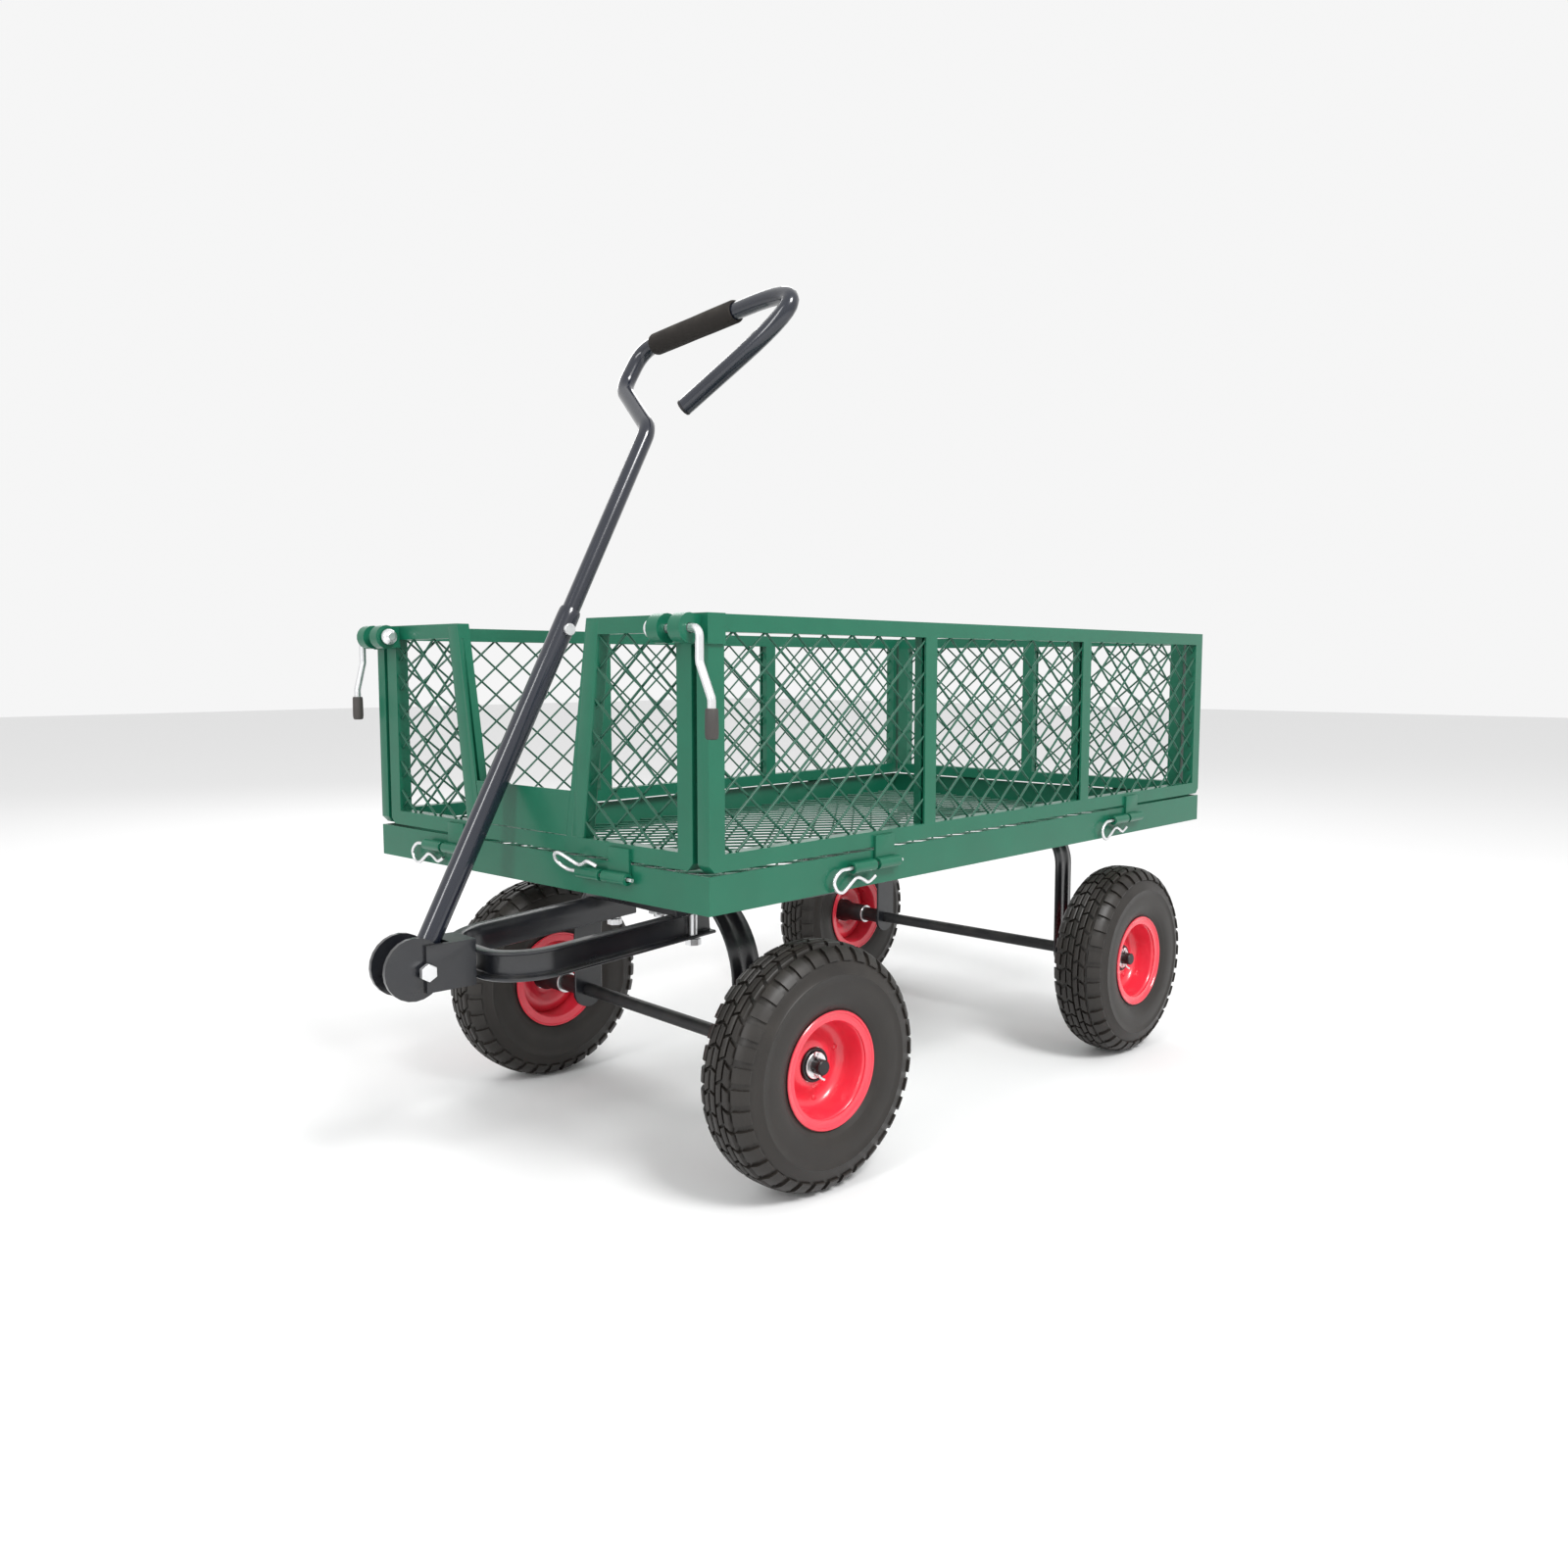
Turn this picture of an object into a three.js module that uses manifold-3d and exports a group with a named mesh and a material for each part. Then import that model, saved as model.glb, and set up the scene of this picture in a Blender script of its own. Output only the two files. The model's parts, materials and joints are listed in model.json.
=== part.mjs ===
// Four-wheeled garden cart: an angle-iron bed with four fold-down mesh sides on two bent axle straps,
// steered by a U-shaped drawbar and a pull handle. Millimetres, +Z up. The handle end is at -X and
// the near long side is at -Y. Every size is taken from the ground below the middle of the bed, and
// the finished cart is moved so that its origin is the bottom centre of its own box.
import * as THREE from 'three';
import { mergeVertices } from 'three/addons/utils/BufferGeometryUtils.js';
import Module from 'manifold-3d';

const wasm = await Module();
wasm.setup();

// ---- driving dimensions ----
const bedLength = 995;
const bedWidth = 568;
const baseBottom = 311.5;
const baseHeight = 36;
const angleThickness = 3;
const ledgeWidth = 30;
const crossbarWidth = 60;
const crossbarThickness = 3;
const floorThickness = 3;
const floorCell = 160;
const panelCell = 112;
const latticeRim = 5;
const latticeBar = 8;

const panelGap = 3;
const panelHeight = 232.5;
const panelDepth = 15;
const railHeight = 16;
const railChamfer = 7;
const postWidth = 20;
const cornerPlay = 6.7;
const sheetSetback = 2.8;
const sheetThickness = 3;
const seatGap = 0.3;

const frontAxleX = -305.6;
const rearAxleX = 324;
const wheelRadius = 129;
const halfTrack = 254;
const tyreHalfWidth = 37;
const wheelFacets = 24;
const rimFlangeRadius = 61.5;
const beadRadius = 50.9;
const rimHalfWidth = 32;
const rimWall = 2.3;
const hubRadius = 18;
const hubOutboard = 6;
const hubInboard = 49;
const axleRadius = 8;
const axleReach = 274;
const turningPlay = 0.4;
const washerRadius = 14;
const washerThickness = 2;
const splitPinRadius = 1.6;
const splitPinLength = 26;
const spacerWall = 3;

const strapWidth = 40;
const strapThickness = 4;
const legBelowAxle = 22;
const frontLegHalf = 157;
const frontShoulder = 100;
const rearLegHalf = 167;
const rearShoulder = 60;
const bolsterHalf = 240;
const bolsterWidth = 80;
const bolsterHeight = 13;
const bolsterWall = 3;
const turntableRadius = 45;
const turntableThickness = 4;
const kingpinRadius = 8;
const steerAngle = -4.46;

const drawbarHeight = 31;
const drawbarFlange = 14;
const drawbarWall = 3.5;
const drawbarNose = 250;
const drawbarHalf = 76;
const drawbarBend = 55;
const drawbarTail = -15;
const drawbarTilt = 4.2;
const drawbarTopAtNose = 248;
const crosspieceFront = 45;
const crosspieceRear = -20;
const crosspieceHalf = 88;
const drawbarBoltForward = 12;
const drawbarBoltRadius = 5;
const drawbarNutRadius = 9;
const kingpinNutRadius = 14;

const pivotForward = 306;
const pivotHeight = 234;
const pivotBoltRadius = 5;
const pivotNutRadius = 9.2;
const cheekRadius = 32;
const cheekForward = 10;
const cheekLift = 3;
const cheekThickness = 5;
const tailThickness = 4;
const tailBottom = 212;
const tailTop = 260;
const webFront = 278.5;

const handleLean = 27.5;
const lowerTubeRadius = 12;
const lowerTubeWall = 1.8;
const lowerTubeLength = 409;
const lowerTubeFoot = 18;
const upperTubeRadius = 9.5;
const upperTubeWall = 1.8;
const tubeOverlap = 80;
const bendStart = 618;
const gripRadius = 12.5;
const gripReach = [64, -76];
const buttonRadius = 4;
const buttonHeadRadius = 6.5;

// The pull handle's bends, as places across and beyond bendStart, with the bend radius where it turns.
const handleBends = [[0, 22, 28], [93, 92, 30], [88, 148, 30], [-230, 177, 40]];
const handleEnd = [-55, 42];

const hingeOffset = 6.5;
const hingeDrop = 13.5;
const knuckleRadius = 6;
const knuckleLength = 35;
const knuckleSpacing = 5;
const clipPlay = 1;
const tabThickness = 2.7;
const clipWire = 2;
const clipHangs = -90;
const clipRaised = 55;
const clipWave = [[0, 0], [-13, 3], [-19, 12], [-14, 21], [-3, 22], [9, 14], [19, 10], [28, 14], [36, 17],
  [46, 12]];
const sideHingeX = 268;
const endHingeY = 141;

const latchForward = 16;
const latchDrop = 13;
const latchRodRadius = 4;
const latchPlay = 0.6;
const lugRadius = 13.5;
const lugLength = 15;
const guideLugInset = 21;
const catchLugInset = 50;
const lugArmHalf = 12;
const capThickness = 3;
const capHeight = 27;
const latchNutRadius = 9;
const leverDrop = 62;
const leverKink = 15;
const sleeveRadius = 6;
const sleeveLength = 27;

const notchTopHalf = 123;
const notchFloorHalf = 86;
const plateHeight = 46;
const plateThickness = 2.2;

// ---- sizes that follow ----
const halfLength = bedLength / 2;
const halfWidth = bedWidth / 2;
const baseTop = baseBottom + baseHeight;
const ledgeTop = baseBottom + angleThickness;
const floorBottom = ledgeTop + seatGap;
const panelBottom = baseTop + panelGap;
const panelTop = panelBottom + panelHeight;
const bayBottom = panelBottom + railHeight;
const bayTop = panelTop - railHeight;
const endPanelHalf = halfWidth - panelDepth - cornerPlay;
const hingeZ = baseTop - hingeDrop;
const latchX = -(halfLength + latchForward);
const latchZ = panelTop - latchDrop;
const latchBore = latchRodRadius + latchPlay;
const knuckleBore = clipWire + clipPlay;
const guideLugStart = halfWidth - guideLugInset;
const catchLugStart = halfWidth - catchLugInset;
const strapTopFront = baseBottom - 2 * seatGap - bolsterHeight - turntableThickness - seatGap;
const axleZ = wheelRadius;
const radians = THREE.MathUtils.degToRad;
const bracketRear = drawbarNose + (drawbarHeight / 2) * Math.sin(radians(drawbarTilt)) + seatGap;

// ---- materials ----
function finish(color, roughness, metalness) {
  return () => new THREE.MeshStandardMaterial({ color, roughness, metalness });
}
const greenPaint = finish(0x1f7a58, 0.38, 0.25);
const greenWire = finish(0x2a6a50, 0.45, 0.25);
const blackPaint = finish(0x1a1c20, 0.3, 0.4);
const handlePaint = finish(0x252b3a, 0.22, 0.5);
const redPaint = finish(0xe02a3c, 0.3, 0.2);
const zincPlate = finish(0xc9ccd0, 0.3, 0.9);
const tyreRubber = finish(0x24211f, 0.85, 0);
const blackSteel = finish(0x17171a, 0.5, 0.5);
const foam = finish(0x1b1a1a, 0.95, 0);
const sleeveRubber = finish(0x3a3632, 0.8, 0);

// ---- solids ----
function toSolid(geometry) {
  const bare = geometry.clone();
  bare.deleteAttribute('normal');
  bare.deleteAttribute('uv');
  const merged = mergeVertices(bare, 1e-3);
  const index = merged.index.array;
  const kept = [];
  for (let i = 0; i < index.length; i += 3) {
    const [a, b, c] = [index[i], index[i + 1], index[i + 2]];
    if (a !== b && b !== c && a !== c) kept.push(a, b, c);
  }
  const vertProperties = new Float32Array(merged.attributes.position.array);
  return new wasm.Manifold(new wasm.Mesh({ numProp: 3, vertProperties, triVerts: new Uint32Array(kept) }));
}

function toGeometry(solid) {
  const mesh = solid.getMesh();
  const geometry = new THREE.BufferGeometry();
  geometry.setAttribute('position', new THREE.BufferAttribute(mesh.vertProperties, 3));
  geometry.setIndex(new THREE.BufferAttribute(mesh.triVerts, 1));
  geometry.computeVertexNormals();
  return geometry;
}

const join = (...solids) => wasm.Manifold.union(solids);
const cut = (solid, ...tools) => solid.subtract(wasm.Manifold.union(tools));

function box(x0, x1, y0, y1, z0, z1) {
  const geometry = new THREE.BoxGeometry(Math.abs(x1 - x0), Math.abs(y1 - y0), Math.abs(z1 - z0));
  geometry.translate((x0 + x1) / 2, (y0 + y1) / 2, (z0 + z1) / 2);
  return toSolid(geometry);
}

// A round bar between two points.
function bar(radius, from, to, sides = 12) {
  const start = new THREE.Vector3(...from);
  const end = new THREE.Vector3(...to);
  const along = end.clone().sub(start);
  const geometry = new THREE.CylinderGeometry(radius, radius, along.length(), sides);
  const turn = new THREE.Quaternion().setFromUnitVectors(new THREE.Vector3(0, 1, 0), along.normalize());
  geometry.applyQuaternion(turn);
  geometry.translate((start.x + end.x) / 2, (start.y + end.y) / 2, (start.z + end.z) / 2);
  return toSolid(geometry);
}

// An outline across one axis, in the other two coordinates, drawn out from one place to another.
function prism(axis, outline, from, to, curveSegments = 6) {
  const points = Array.isArray(outline) ? outline.map(([a, b]) => new THREE.Vector2(a, b)) : null;
  const shape = points ? new THREE.Shape(points) : outline;
  const depth = Math.abs(to - from);
  const geometry = new THREE.ExtrudeGeometry(shape, { depth, bevelEnabled: false, curveSegments });
  const low = Math.min(from, to);
  if (axis === 'x') {
    const [east, north, up] = [[1, 0, 0], [0, 1, 0], [0, 0, 1]].map((v) => new THREE.Vector3(...v));
    geometry.applyMatrix4(new THREE.Matrix4().makeBasis(north, up, east));
    geometry.translate(low, 0, 0);
  } else if (axis === 'y') {
    geometry.rotateX(Math.PI / 2);
    geometry.translate(0, low + depth, 0);
  } else {
    geometry.translate(0, 0, low);
  }
  return toSolid(geometry);
}

// A closed profile of [radius, place along the axle] points, turned about a lateral axle. The points
// run anticlockwise, so that the faces point outwards.
function turned(profile, segments) {
  const points = profile.map(([r, w]) => new THREE.Vector2(r, w));
  if (THREE.ShapeUtils.area(points) < 0) points.reverse();
  return toSolid(new THREE.LatheGeometry([...points, points[0]], segments));
}

function ringSection(radius, bore, sides) {
  const ring = (r) => Array.from({ length: sides }, (_, i) => {
    const turn = (i / sides) * Math.PI * 2;
    return new THREE.Vector2(r * Math.cos(turn), r * Math.sin(turn));
  });
  const shape = new THREE.Shape(ring(radius));
  if (bore > 0) shape.holes.push(new THREE.Path(ring(bore)));
  return shape;
}

function sweep(curve, radius, sides, steps, bore = 0) {
  const section = ringSection(radius, bore, sides);
  return toSolid(new THREE.ExtrudeGeometry(section, { extrudePath: curve, steps, bevelEnabled: false }));
}

// Straight runs joined by bends, through corners of [point, bend radius].
function bentPath(corners) {
  const path = new THREE.CurvePath();
  let last = corners[0][0].clone();
  for (let i = 1; i < corners.length - 1; i += 1) {
    const [corner, radius] = corners[i];
    const back = corners[i - 1][0].clone().sub(corner).normalize();
    const ahead = corners[i + 1][0].clone().sub(corner).normalize();
    const reach = radius / Math.tan(back.angleTo(ahead) / 2);
    const start = corner.clone().addScaledVector(back, reach);
    const end = corner.clone().addScaledVector(ahead, reach);
    path.add(new THREE.LineCurve3(last, start));
    path.add(new THREE.QuadraticBezierCurve3(start, corner.clone(), end));
    last = end;
  }
  path.add(new THREE.LineCurve3(last, corners[corners.length - 1][0].clone()));
  return path;
}

function named(name, solid, material) {
  const mesh = new THREE.Mesh(toGeometry(solid), material());
  mesh.name = name;
  return mesh;
}

// ---- bed ----
function baseFrame() {
  const wall = angleThickness;
  const outer = box(-halfLength, halfLength, -halfWidth, halfWidth, baseBottom, baseTop);
  const inside = box(-halfLength + wall, halfLength - wall, -halfWidth + wall, halfWidth - wall,
    ledgeTop, baseTop + 1);
  const opening = box(-halfLength + ledgeWidth, halfLength - ledgeWidth, -halfWidth + ledgeWidth,
    halfWidth - ledgeWidth, baseBottom - 1, ledgeTop + 1);
  const bars = [frontAxleX, rearAxleX].map((x) => box(x - crossbarWidth / 2, x + crossbarWidth / 2,
    -halfWidth + 1, halfWidth - 1, baseBottom, baseBottom + crossbarThickness));
  const ring = join(cut(outer, inside, opening), ...bars, ...hinges.map(fixedKnuckle));
  const kingpinHole = bar(kingpinRadius + seatGap, [frontAxleX, 0, baseBottom - 1], [frontAxleX, 0, baseTop]);
  return cut(ring, kingpinHole);
}

function frontBolster() {
  const top = baseBottom - seatGap;
  const bottom = top - bolsterHeight;
  const half = bolsterWidth / 2;
  const solid = box(frontAxleX - half, frontAxleX + half, -bolsterHalf, bolsterHalf, bottom, top);
  const trough = box(frontAxleX - half + bolsterWall, frontAxleX + half - bolsterWall,
    -bolsterHalf - 1, bolsterHalf + 1, bottom + bolsterWall, top + 1);
  const pinHole = bar(kingpinRadius + seatGap, [frontAxleX, 0, bottom - 1], [frontAxleX, 0, top]);
  return cut(solid, trough, pinHole);
}

// A strap bent over and down to both ends of an axle, with rounded feet, in the frame of its axle.
function axleStrap(top, legHalf, shoulder) {
  const strip = new THREE.Shape();
  const bottom = axleZ - legBelowAxle;
  const t = strapThickness;
  strip.moveTo(-legHalf, bottom);
  strip.lineTo(-legHalf, top - shoulder);
  strip.absarc(-legHalf + shoulder, top - shoulder, shoulder, Math.PI, Math.PI / 2, true);
  strip.lineTo(legHalf - shoulder, top);
  strip.absarc(legHalf - shoulder, top - shoulder, shoulder, Math.PI / 2, 0, true);
  strip.lineTo(legHalf, bottom);
  strip.lineTo(legHalf - t, bottom);
  strip.lineTo(legHalf - t, top - shoulder);
  strip.absarc(legHalf - shoulder, top - shoulder, shoulder - t, 0, Math.PI / 2, false);
  strip.lineTo(-legHalf + shoulder, top - t);
  strip.absarc(-legHalf + shoulder, top - shoulder, shoulder - t, Math.PI / 2, Math.PI, false);
  strip.lineTo(-legHalf + t, bottom);
  strip.closePath();
  const half = strapWidth / 2;
  const strap = prism('x', strip, -half, half, 6);
  const side = new THREE.Shape();
  side.moveTo(-half - 1, top + 1);
  side.lineTo(-half - 1, axleZ);
  side.absarc(0, axleZ, half + 1, Math.PI, Math.PI * 2, false);
  side.lineTo(half + 1, top + 1);
  const rounded = strap.intersect(prism('y', side, -legHalf - 1, legHalf + 1, 6));
  return cut(rounded, bar(axleRadius + turningPlay, [0, -axleReach, axleZ], [0, axleReach, axleZ]));
}

// An axle with its spacers, thrust washers and split pins, along Y at wheel height.
function axle(legHalf) {
  const at = (y) => [0, y, axleZ];
  const parts = [bar(axleRadius, at(-axleReach), at(axleReach))];
  for (const side of [-1, 1]) {
    const inner = halfTrack - hubInboard - turningPlay;
    const outer = halfTrack + hubOutboard + turningPlay;
    parts.push(bar(axleRadius + spacerWall, at(side * (legHalf + turningPlay)), at(side * inner)));
    parts.push(bar(washerRadius, at(side * (inner - washerThickness)), at(side * inner)));
    parts.push(bar(washerRadius, at(side * outer), at(side * (outer + washerThickness))));
    const pinY = side * (outer + washerThickness + splitPinRadius + 1);
    const reach = splitPinLength / 2;
    parts.push(bar(splitPinRadius, [0, pinY, axleZ - reach], [0, pinY, axleZ + reach], 6));
  }
  return join(...parts);
}

// ---- lattice sheets ----
function distanceToSegment(point, a, b) {
  const along = [b[0] - a[0], b[1] - a[1]];
  const length = along[0] ** 2 + along[1] ** 2;
  const t = ((point[0] - a[0]) * along[0] + (point[1] - a[1]) * along[1]) / length;
  const s = Math.min(1, Math.max(0, t));
  return Math.hypot(point[0] - a[0] - s * along[0], point[1] - a[1] - s * along[1]);
}

function isInside(point, outline, margin) {
  let inside = false;
  for (let i = 0; i < outline.length; i += 1) {
    const a = outline[i];
    const b = outline[(i + 1) % outline.length];
    if (distanceToSegment(point, a, b) < margin) return false;
    if ((a[1] > point[1]) !== (b[1] > point[1])) {
      const crossing = a[0] + ((point[1] - a[1]) * (b[0] - a[0])) / (b[1] - a[1]);
      if (point[0] < crossing) inside = !inside;
    }
  }
  return inside;
}

// A sheet with diamond openings wherever a whole one fits inside its rim.
function lattice(axis, outline, from, to, cell) {
  const xs = outline.map((p) => p[0]);
  const ys = outline.map((p) => p[1]);
  const middle = [(Math.min(...xs) + Math.max(...xs)) / 2, (Math.min(...ys) + Math.max(...ys)) / 2];
  const columns = Math.ceil((Math.max(...xs) - Math.min(...xs)) / cell);
  const rows = Math.ceil((Math.max(...ys) - Math.min(...ys)) / cell);
  const reach = cell / 2 - latticeBar / Math.SQRT2;
  const holes = [];
  for (let i = -columns; i <= columns; i += 1) {
    for (let j = -rows; j <= rows; j += 1) {
      if ((i + j) % 2 !== 0) continue;
      const a = middle[0] + (i * cell) / 2;
      const b = middle[1] + (j * cell) / 2;
      const diamond = [[a - reach, b], [a, b - reach], [a + reach, b], [a, b + reach]];
      if (diamond.every((corner) => isInside(corner, outline, latticeRim))) {
        holes.push(prism(axis, diamond, from - 1, to + 1));
      }
    }
  }
  return cut(prism(axis, outline, from, to), ...holes);
}

function rectangle(a0, a1, b0, b1) {
  return [[a0, b0], [a1, b0], [a1, b1], [a0, b1]];
}

function floorMesh() {
  const side = angleThickness + seatGap;
  const outline = rectangle(-halfLength + side, halfLength - side, -halfWidth + side, halfWidth - side);
  return lattice('z', outline, floorBottom, floorBottom + floorThickness, floorCell);
}

// ---- hinges ----
// Each hinge has one knuckle on the base and one on a panel, side by side, with a wire clip as its
// pin. The clip's head is at the start of the run.
function hingesOf(panel, along, sign, middle, face) {
  const run = along === 'x' ? 1 : -1;
  return [-middle, middle].map((at, i) => ({ panel, along, sign, at, run, face, number: i + 1 }));
}
const hinges = [
  ...hingesOf('near', 'x', -1, sideHingeX, halfWidth),
  ...hingesOf('far', 'x', 1, sideHingeX, halfWidth),
  ...hingesOf('front', 'y', -1, endHingeY, halfLength),
  ...hingesOf('rear', 'y', 1, endHingeY, halfLength),
];
const knucklePairHalf = knuckleLength + knuckleSpacing / 2;

// A point given by its place along the hinge, outwards from the base face, and up.
function hingePoint(hinge, along, out, z) {
  const across = hinge.sign * (hinge.face + out);
  const place = hinge.at + hinge.run * along;
  return hinge.along === 'x' ? [place, across, z] : [across, place, z];
}

function hingeBox(hinge, along, out, z) {
  const [x0, y0] = hingePoint(hinge, along[0], out[0], 0);
  const [x1, y1] = hingePoint(hinge, along[1], out[1], 0);
  return box(Math.min(x0, x1), Math.max(x0, x1), Math.min(y0, y1), Math.max(y0, y1), z[0], z[1]);
}

function hingeBar(hinge, radius, from, to, sides) {
  const start = hingePoint(hinge, from, hingeOffset, hingeZ);
  return bar(radius, start, hingePoint(hinge, to, hingeOffset, hingeZ), sides);
}

function fixedKnuckle(hinge) {
  const [from, to] = [-knucklePairHalf, -knuckleSpacing / 2];
  const tube = hingeBar(hinge, knuckleRadius, from, to, 12);
  const weld = hingeBox(hinge, [from + 2, to - 2], [-1, hingeOffset - 4], [hingeZ - 3, hingeZ + 3]);
  return cut(join(tube, weld), hingeBar(hinge, knuckleBore, from - 1, to + 1, 8));
}

function movingKnuckle(hinge) {
  const [from, to] = [knuckleSpacing / 2, knucklePairHalf];
  const tube = hingeBar(hinge, knuckleRadius, from, to, 12);
  const tabOut = 0.5 + tabThickness;
  const tab = hingeBox(hinge, [from + 2, to - 2], [0.5, tabOut], [hingeZ, bayBottom - 4]);
  const weld = hingeBox(hinge, [from + 2, to - 2], [-1, tabOut], [panelBottom + 2, bayBottom - 4]);
  return cut(join(tube, tab, weld), hingeBar(hinge, knuckleBore, from - 1, to + 1, 8));
}

// One wire: a straight leg through both knuckles, a round head and a waved leg beside the first one.
function clip(hinge) {
  const head = -knucklePairHalf - 9;
  const tip = knucklePairHalf + 7;
  const raised = hinge.panel === 'front' && hinge.number === 1;
  const swing = radians(raised ? clipRaised : clipHangs);
  const at = (along, drop) => new THREE.Vector3(...hingePoint(hinge, along,
    hingeOffset + drop * Math.cos(swing), hingeZ + drop * Math.sin(swing)));
  const path = new THREE.CurvePath();
  path.add(new THREE.LineCurve3(at(tip, 0), at(head, 0)));
  path.add(new THREE.CatmullRomCurve3(clipWave.map(([a, d]) => at(head + a, d))));
  return sweep(path, clipWire, 5, 18);
}

// ---- panels ----
// Rails and posts of a panel, drawn across one axis between its two faces.
function panelFrame(axis, half, posts, faces) {
  const [from, to] = faces;
  const b = panelBottom;
  const bottom = [[-half, b + railChamfer], [-half + railChamfer, b], [half - railChamfer, b],
    [half, b + railChamfer], [half, bayBottom], [-half, bayBottom]];
  const parts = [
    prism(axis, rectangle(-half, half, bayTop, panelTop), from, to),
    prism(axis, bottom, from, to),
  ];
  for (const at of [-half + postWidth / 2, ...posts, half - postWidth / 2]) {
    const post = rectangle(at - postWidth / 2, at + postWidth / 2, bayBottom - 1, bayTop + 1);
    parts.push(prism(axis, post, from, to));
  }
  return join(...parts);
}

// Where the lattice sheet of a panel lies, outwards positive, with an allowance on both faces.
function sheetFaces(sign, face, allowance = 0) {
  const outer = face - sheetSetback + allowance;
  const inner = face - sheetSetback - sheetThickness - allowance;
  return [sign * outer, sign * inner];
}

function sheetSlot(axis, half, sign, face) {
  const [from, to] = sheetFaces(sign, face, seatGap);
  return prism(axis, rectangle(-half + postWidth, half - postWidth, bayBottom, bayTop), from, to);
}

function sheetOutline(half) {
  const reach = half - postWidth - seatGap;
  return rectangle(-reach, reach, bayBottom + seatGap, bayTop - seatGap);
}

const sidePosts = [-bedLength / 6, bedLength / 6];
const latchAt = (side, y) => [latchX, side * y, latchZ];

function sidePanel(side) {
  const name = side < 0 ? 'near' : 'far';
  const faces = [side * halfWidth, side * (halfWidth - panelDepth)];
  const frame = panelFrame('y', halfLength, sidePosts, faces);
  const slotted = cut(frame, sheetSlot('y', halfLength, side, halfWidth));
  const lugInner = side * (guideLugStart + 1);
  const capFaces = [latchZ - capHeight / 2 - 0.5, panelTop + 0.5];
  const cap = box(-halfLength - capThickness, -halfLength + postWidth - 1, lugInner,
    side * (halfWidth + capThickness), ...capFaces);
  const capInside = box(-halfLength - 1, -halfLength + postWidth + 10, side * (guideLugStart - 1),
    side * (halfWidth - panelDepth - 0.1), capFaces[0] - 1, capFaces[1] + 0.5);
  const arm = box(latchX, -halfLength - 2, lugInner, side * (guideLugStart + lugLength),
    latchZ - lugArmHalf, latchZ + lugArmHalf);
  const lug = bar(lugRadius, latchAt(side, guideLugStart), latchAt(side, guideLugStart + lugLength), 18);
  const knuckles = hinges.filter((hinge) => hinge.panel === name).map(movingKnuckle);
  const whole = join(slotted, cut(cap, capInside), arm, lug, ...knuckles);
  const bore = bar(latchBore, latchAt(side, guideLugStart - 1), latchAt(side, halfWidth + 5), 10);
  return cut(whole, bore);
}

function sideMesh(side) {
  const faces = sheetFaces(side, halfWidth).sort((a, b) => a - b);
  return lattice('y', sheetOutline(halfLength), ...faces, panelCell);
}

function rearPanel() {
  const frame = panelFrame('x', endPanelHalf, [0], [halfLength, halfLength - panelDepth]);
  const slotted = cut(frame, sheetSlot('x', endPanelHalf, 1, halfLength));
  return join(slotted, ...hinges.filter((hinge) => hinge.panel === 'rear').map(movingKnuckle));
}

function rearMesh() {
  const faces = sheetFaces(1, halfLength).sort((a, b) => a - b);
  return lattice('x', sheetOutline(endPanelHalf), ...faces, panelCell);
}

// Half the width of the front notch, to the middle of its slanted posts, at a height.
function notchHalf(z) {
  const slope = (notchTopHalf - notchFloorHalf) / (panelTop - bayBottom);
  return notchFloorHalf + (z - bayBottom) * slope;
}

function notchOutline(half, floor, top) {
  return [[-notchHalf(floor) + half, floor], [notchHalf(floor) - half, floor],
    [notchHalf(top) - half, top], [-notchHalf(top) + half, top]];
}

function frontPanel() {
  const faces = [-halfLength, -halfLength + panelDepth];
  const half = postWidth / 2;
  const frame = panelFrame('x', endPanelHalf, [], faces);
  const slanted = [-1, 1].map((side) => prism('x', [
    [side * (notchHalf(bayBottom) - half), bayBottom - 1],
    [side * (notchHalf(bayBottom) + half), bayBottom - 1],
    [side * (notchHalf(panelTop) + half), panelTop],
    [side * (notchHalf(panelTop) - half), panelTop],
  ], ...faces));
  const gap = prism('x', notchOutline(half, bayTop - 3, panelTop + 1), ...faces);
  const slot = sheetSlot('x', endPanelHalf, -1, halfLength);
  const lugs = [];
  const bores = [];
  for (const side of [-1, 1]) {
    const end = catchLugStart + lugLength;
    lugs.push(bar(lugRadius, latchAt(side, catchLugStart), latchAt(side, end), 18));
    lugs.push(box(latchX, -halfLength + 1, side * catchLugStart, side * end,
      latchZ - lugArmHalf, latchZ + lugArmHalf));
    bores.push(bar(latchBore, latchAt(side, catchLugStart - 1), latchAt(side, end + 1), 10));
  }
  const knuckles = hinges.filter((hinge) => hinge.panel === 'front').map(movingKnuckle);
  const body = cut(join(frame, ...slanted), gap, slot);
  return cut(join(body, ...lugs, ...knuckles), ...bores);
}

function frontMesh() {
  const reach = endPanelHalf - postWidth - seatGap;
  const low = bayBottom + seatGap;
  const high = bayTop - seatGap;
  const floor = bayBottom + plateHeight - 6;
  const outline = [[-reach, low], [reach, low], [reach, high], [notchHalf(high), high],
    [notchHalf(floor), floor], [-notchHalf(floor), floor], [-notchHalf(high), high], [-reach, high]];
  return lattice('x', outline, ...sheetFaces(-1, halfLength), panelCell);
}

function frontPlate() {
  const half = postWidth / 2 + seatGap;
  const outline = notchOutline(half, bayBottom + seatGap, bayBottom + plateHeight);
  return prism('x', outline, -halfLength, -halfLength + plateThickness);
}

// ---- latches ----
const leverCorner = halfWidth + 6;
const nutInner = catchLugStart - 3;

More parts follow.
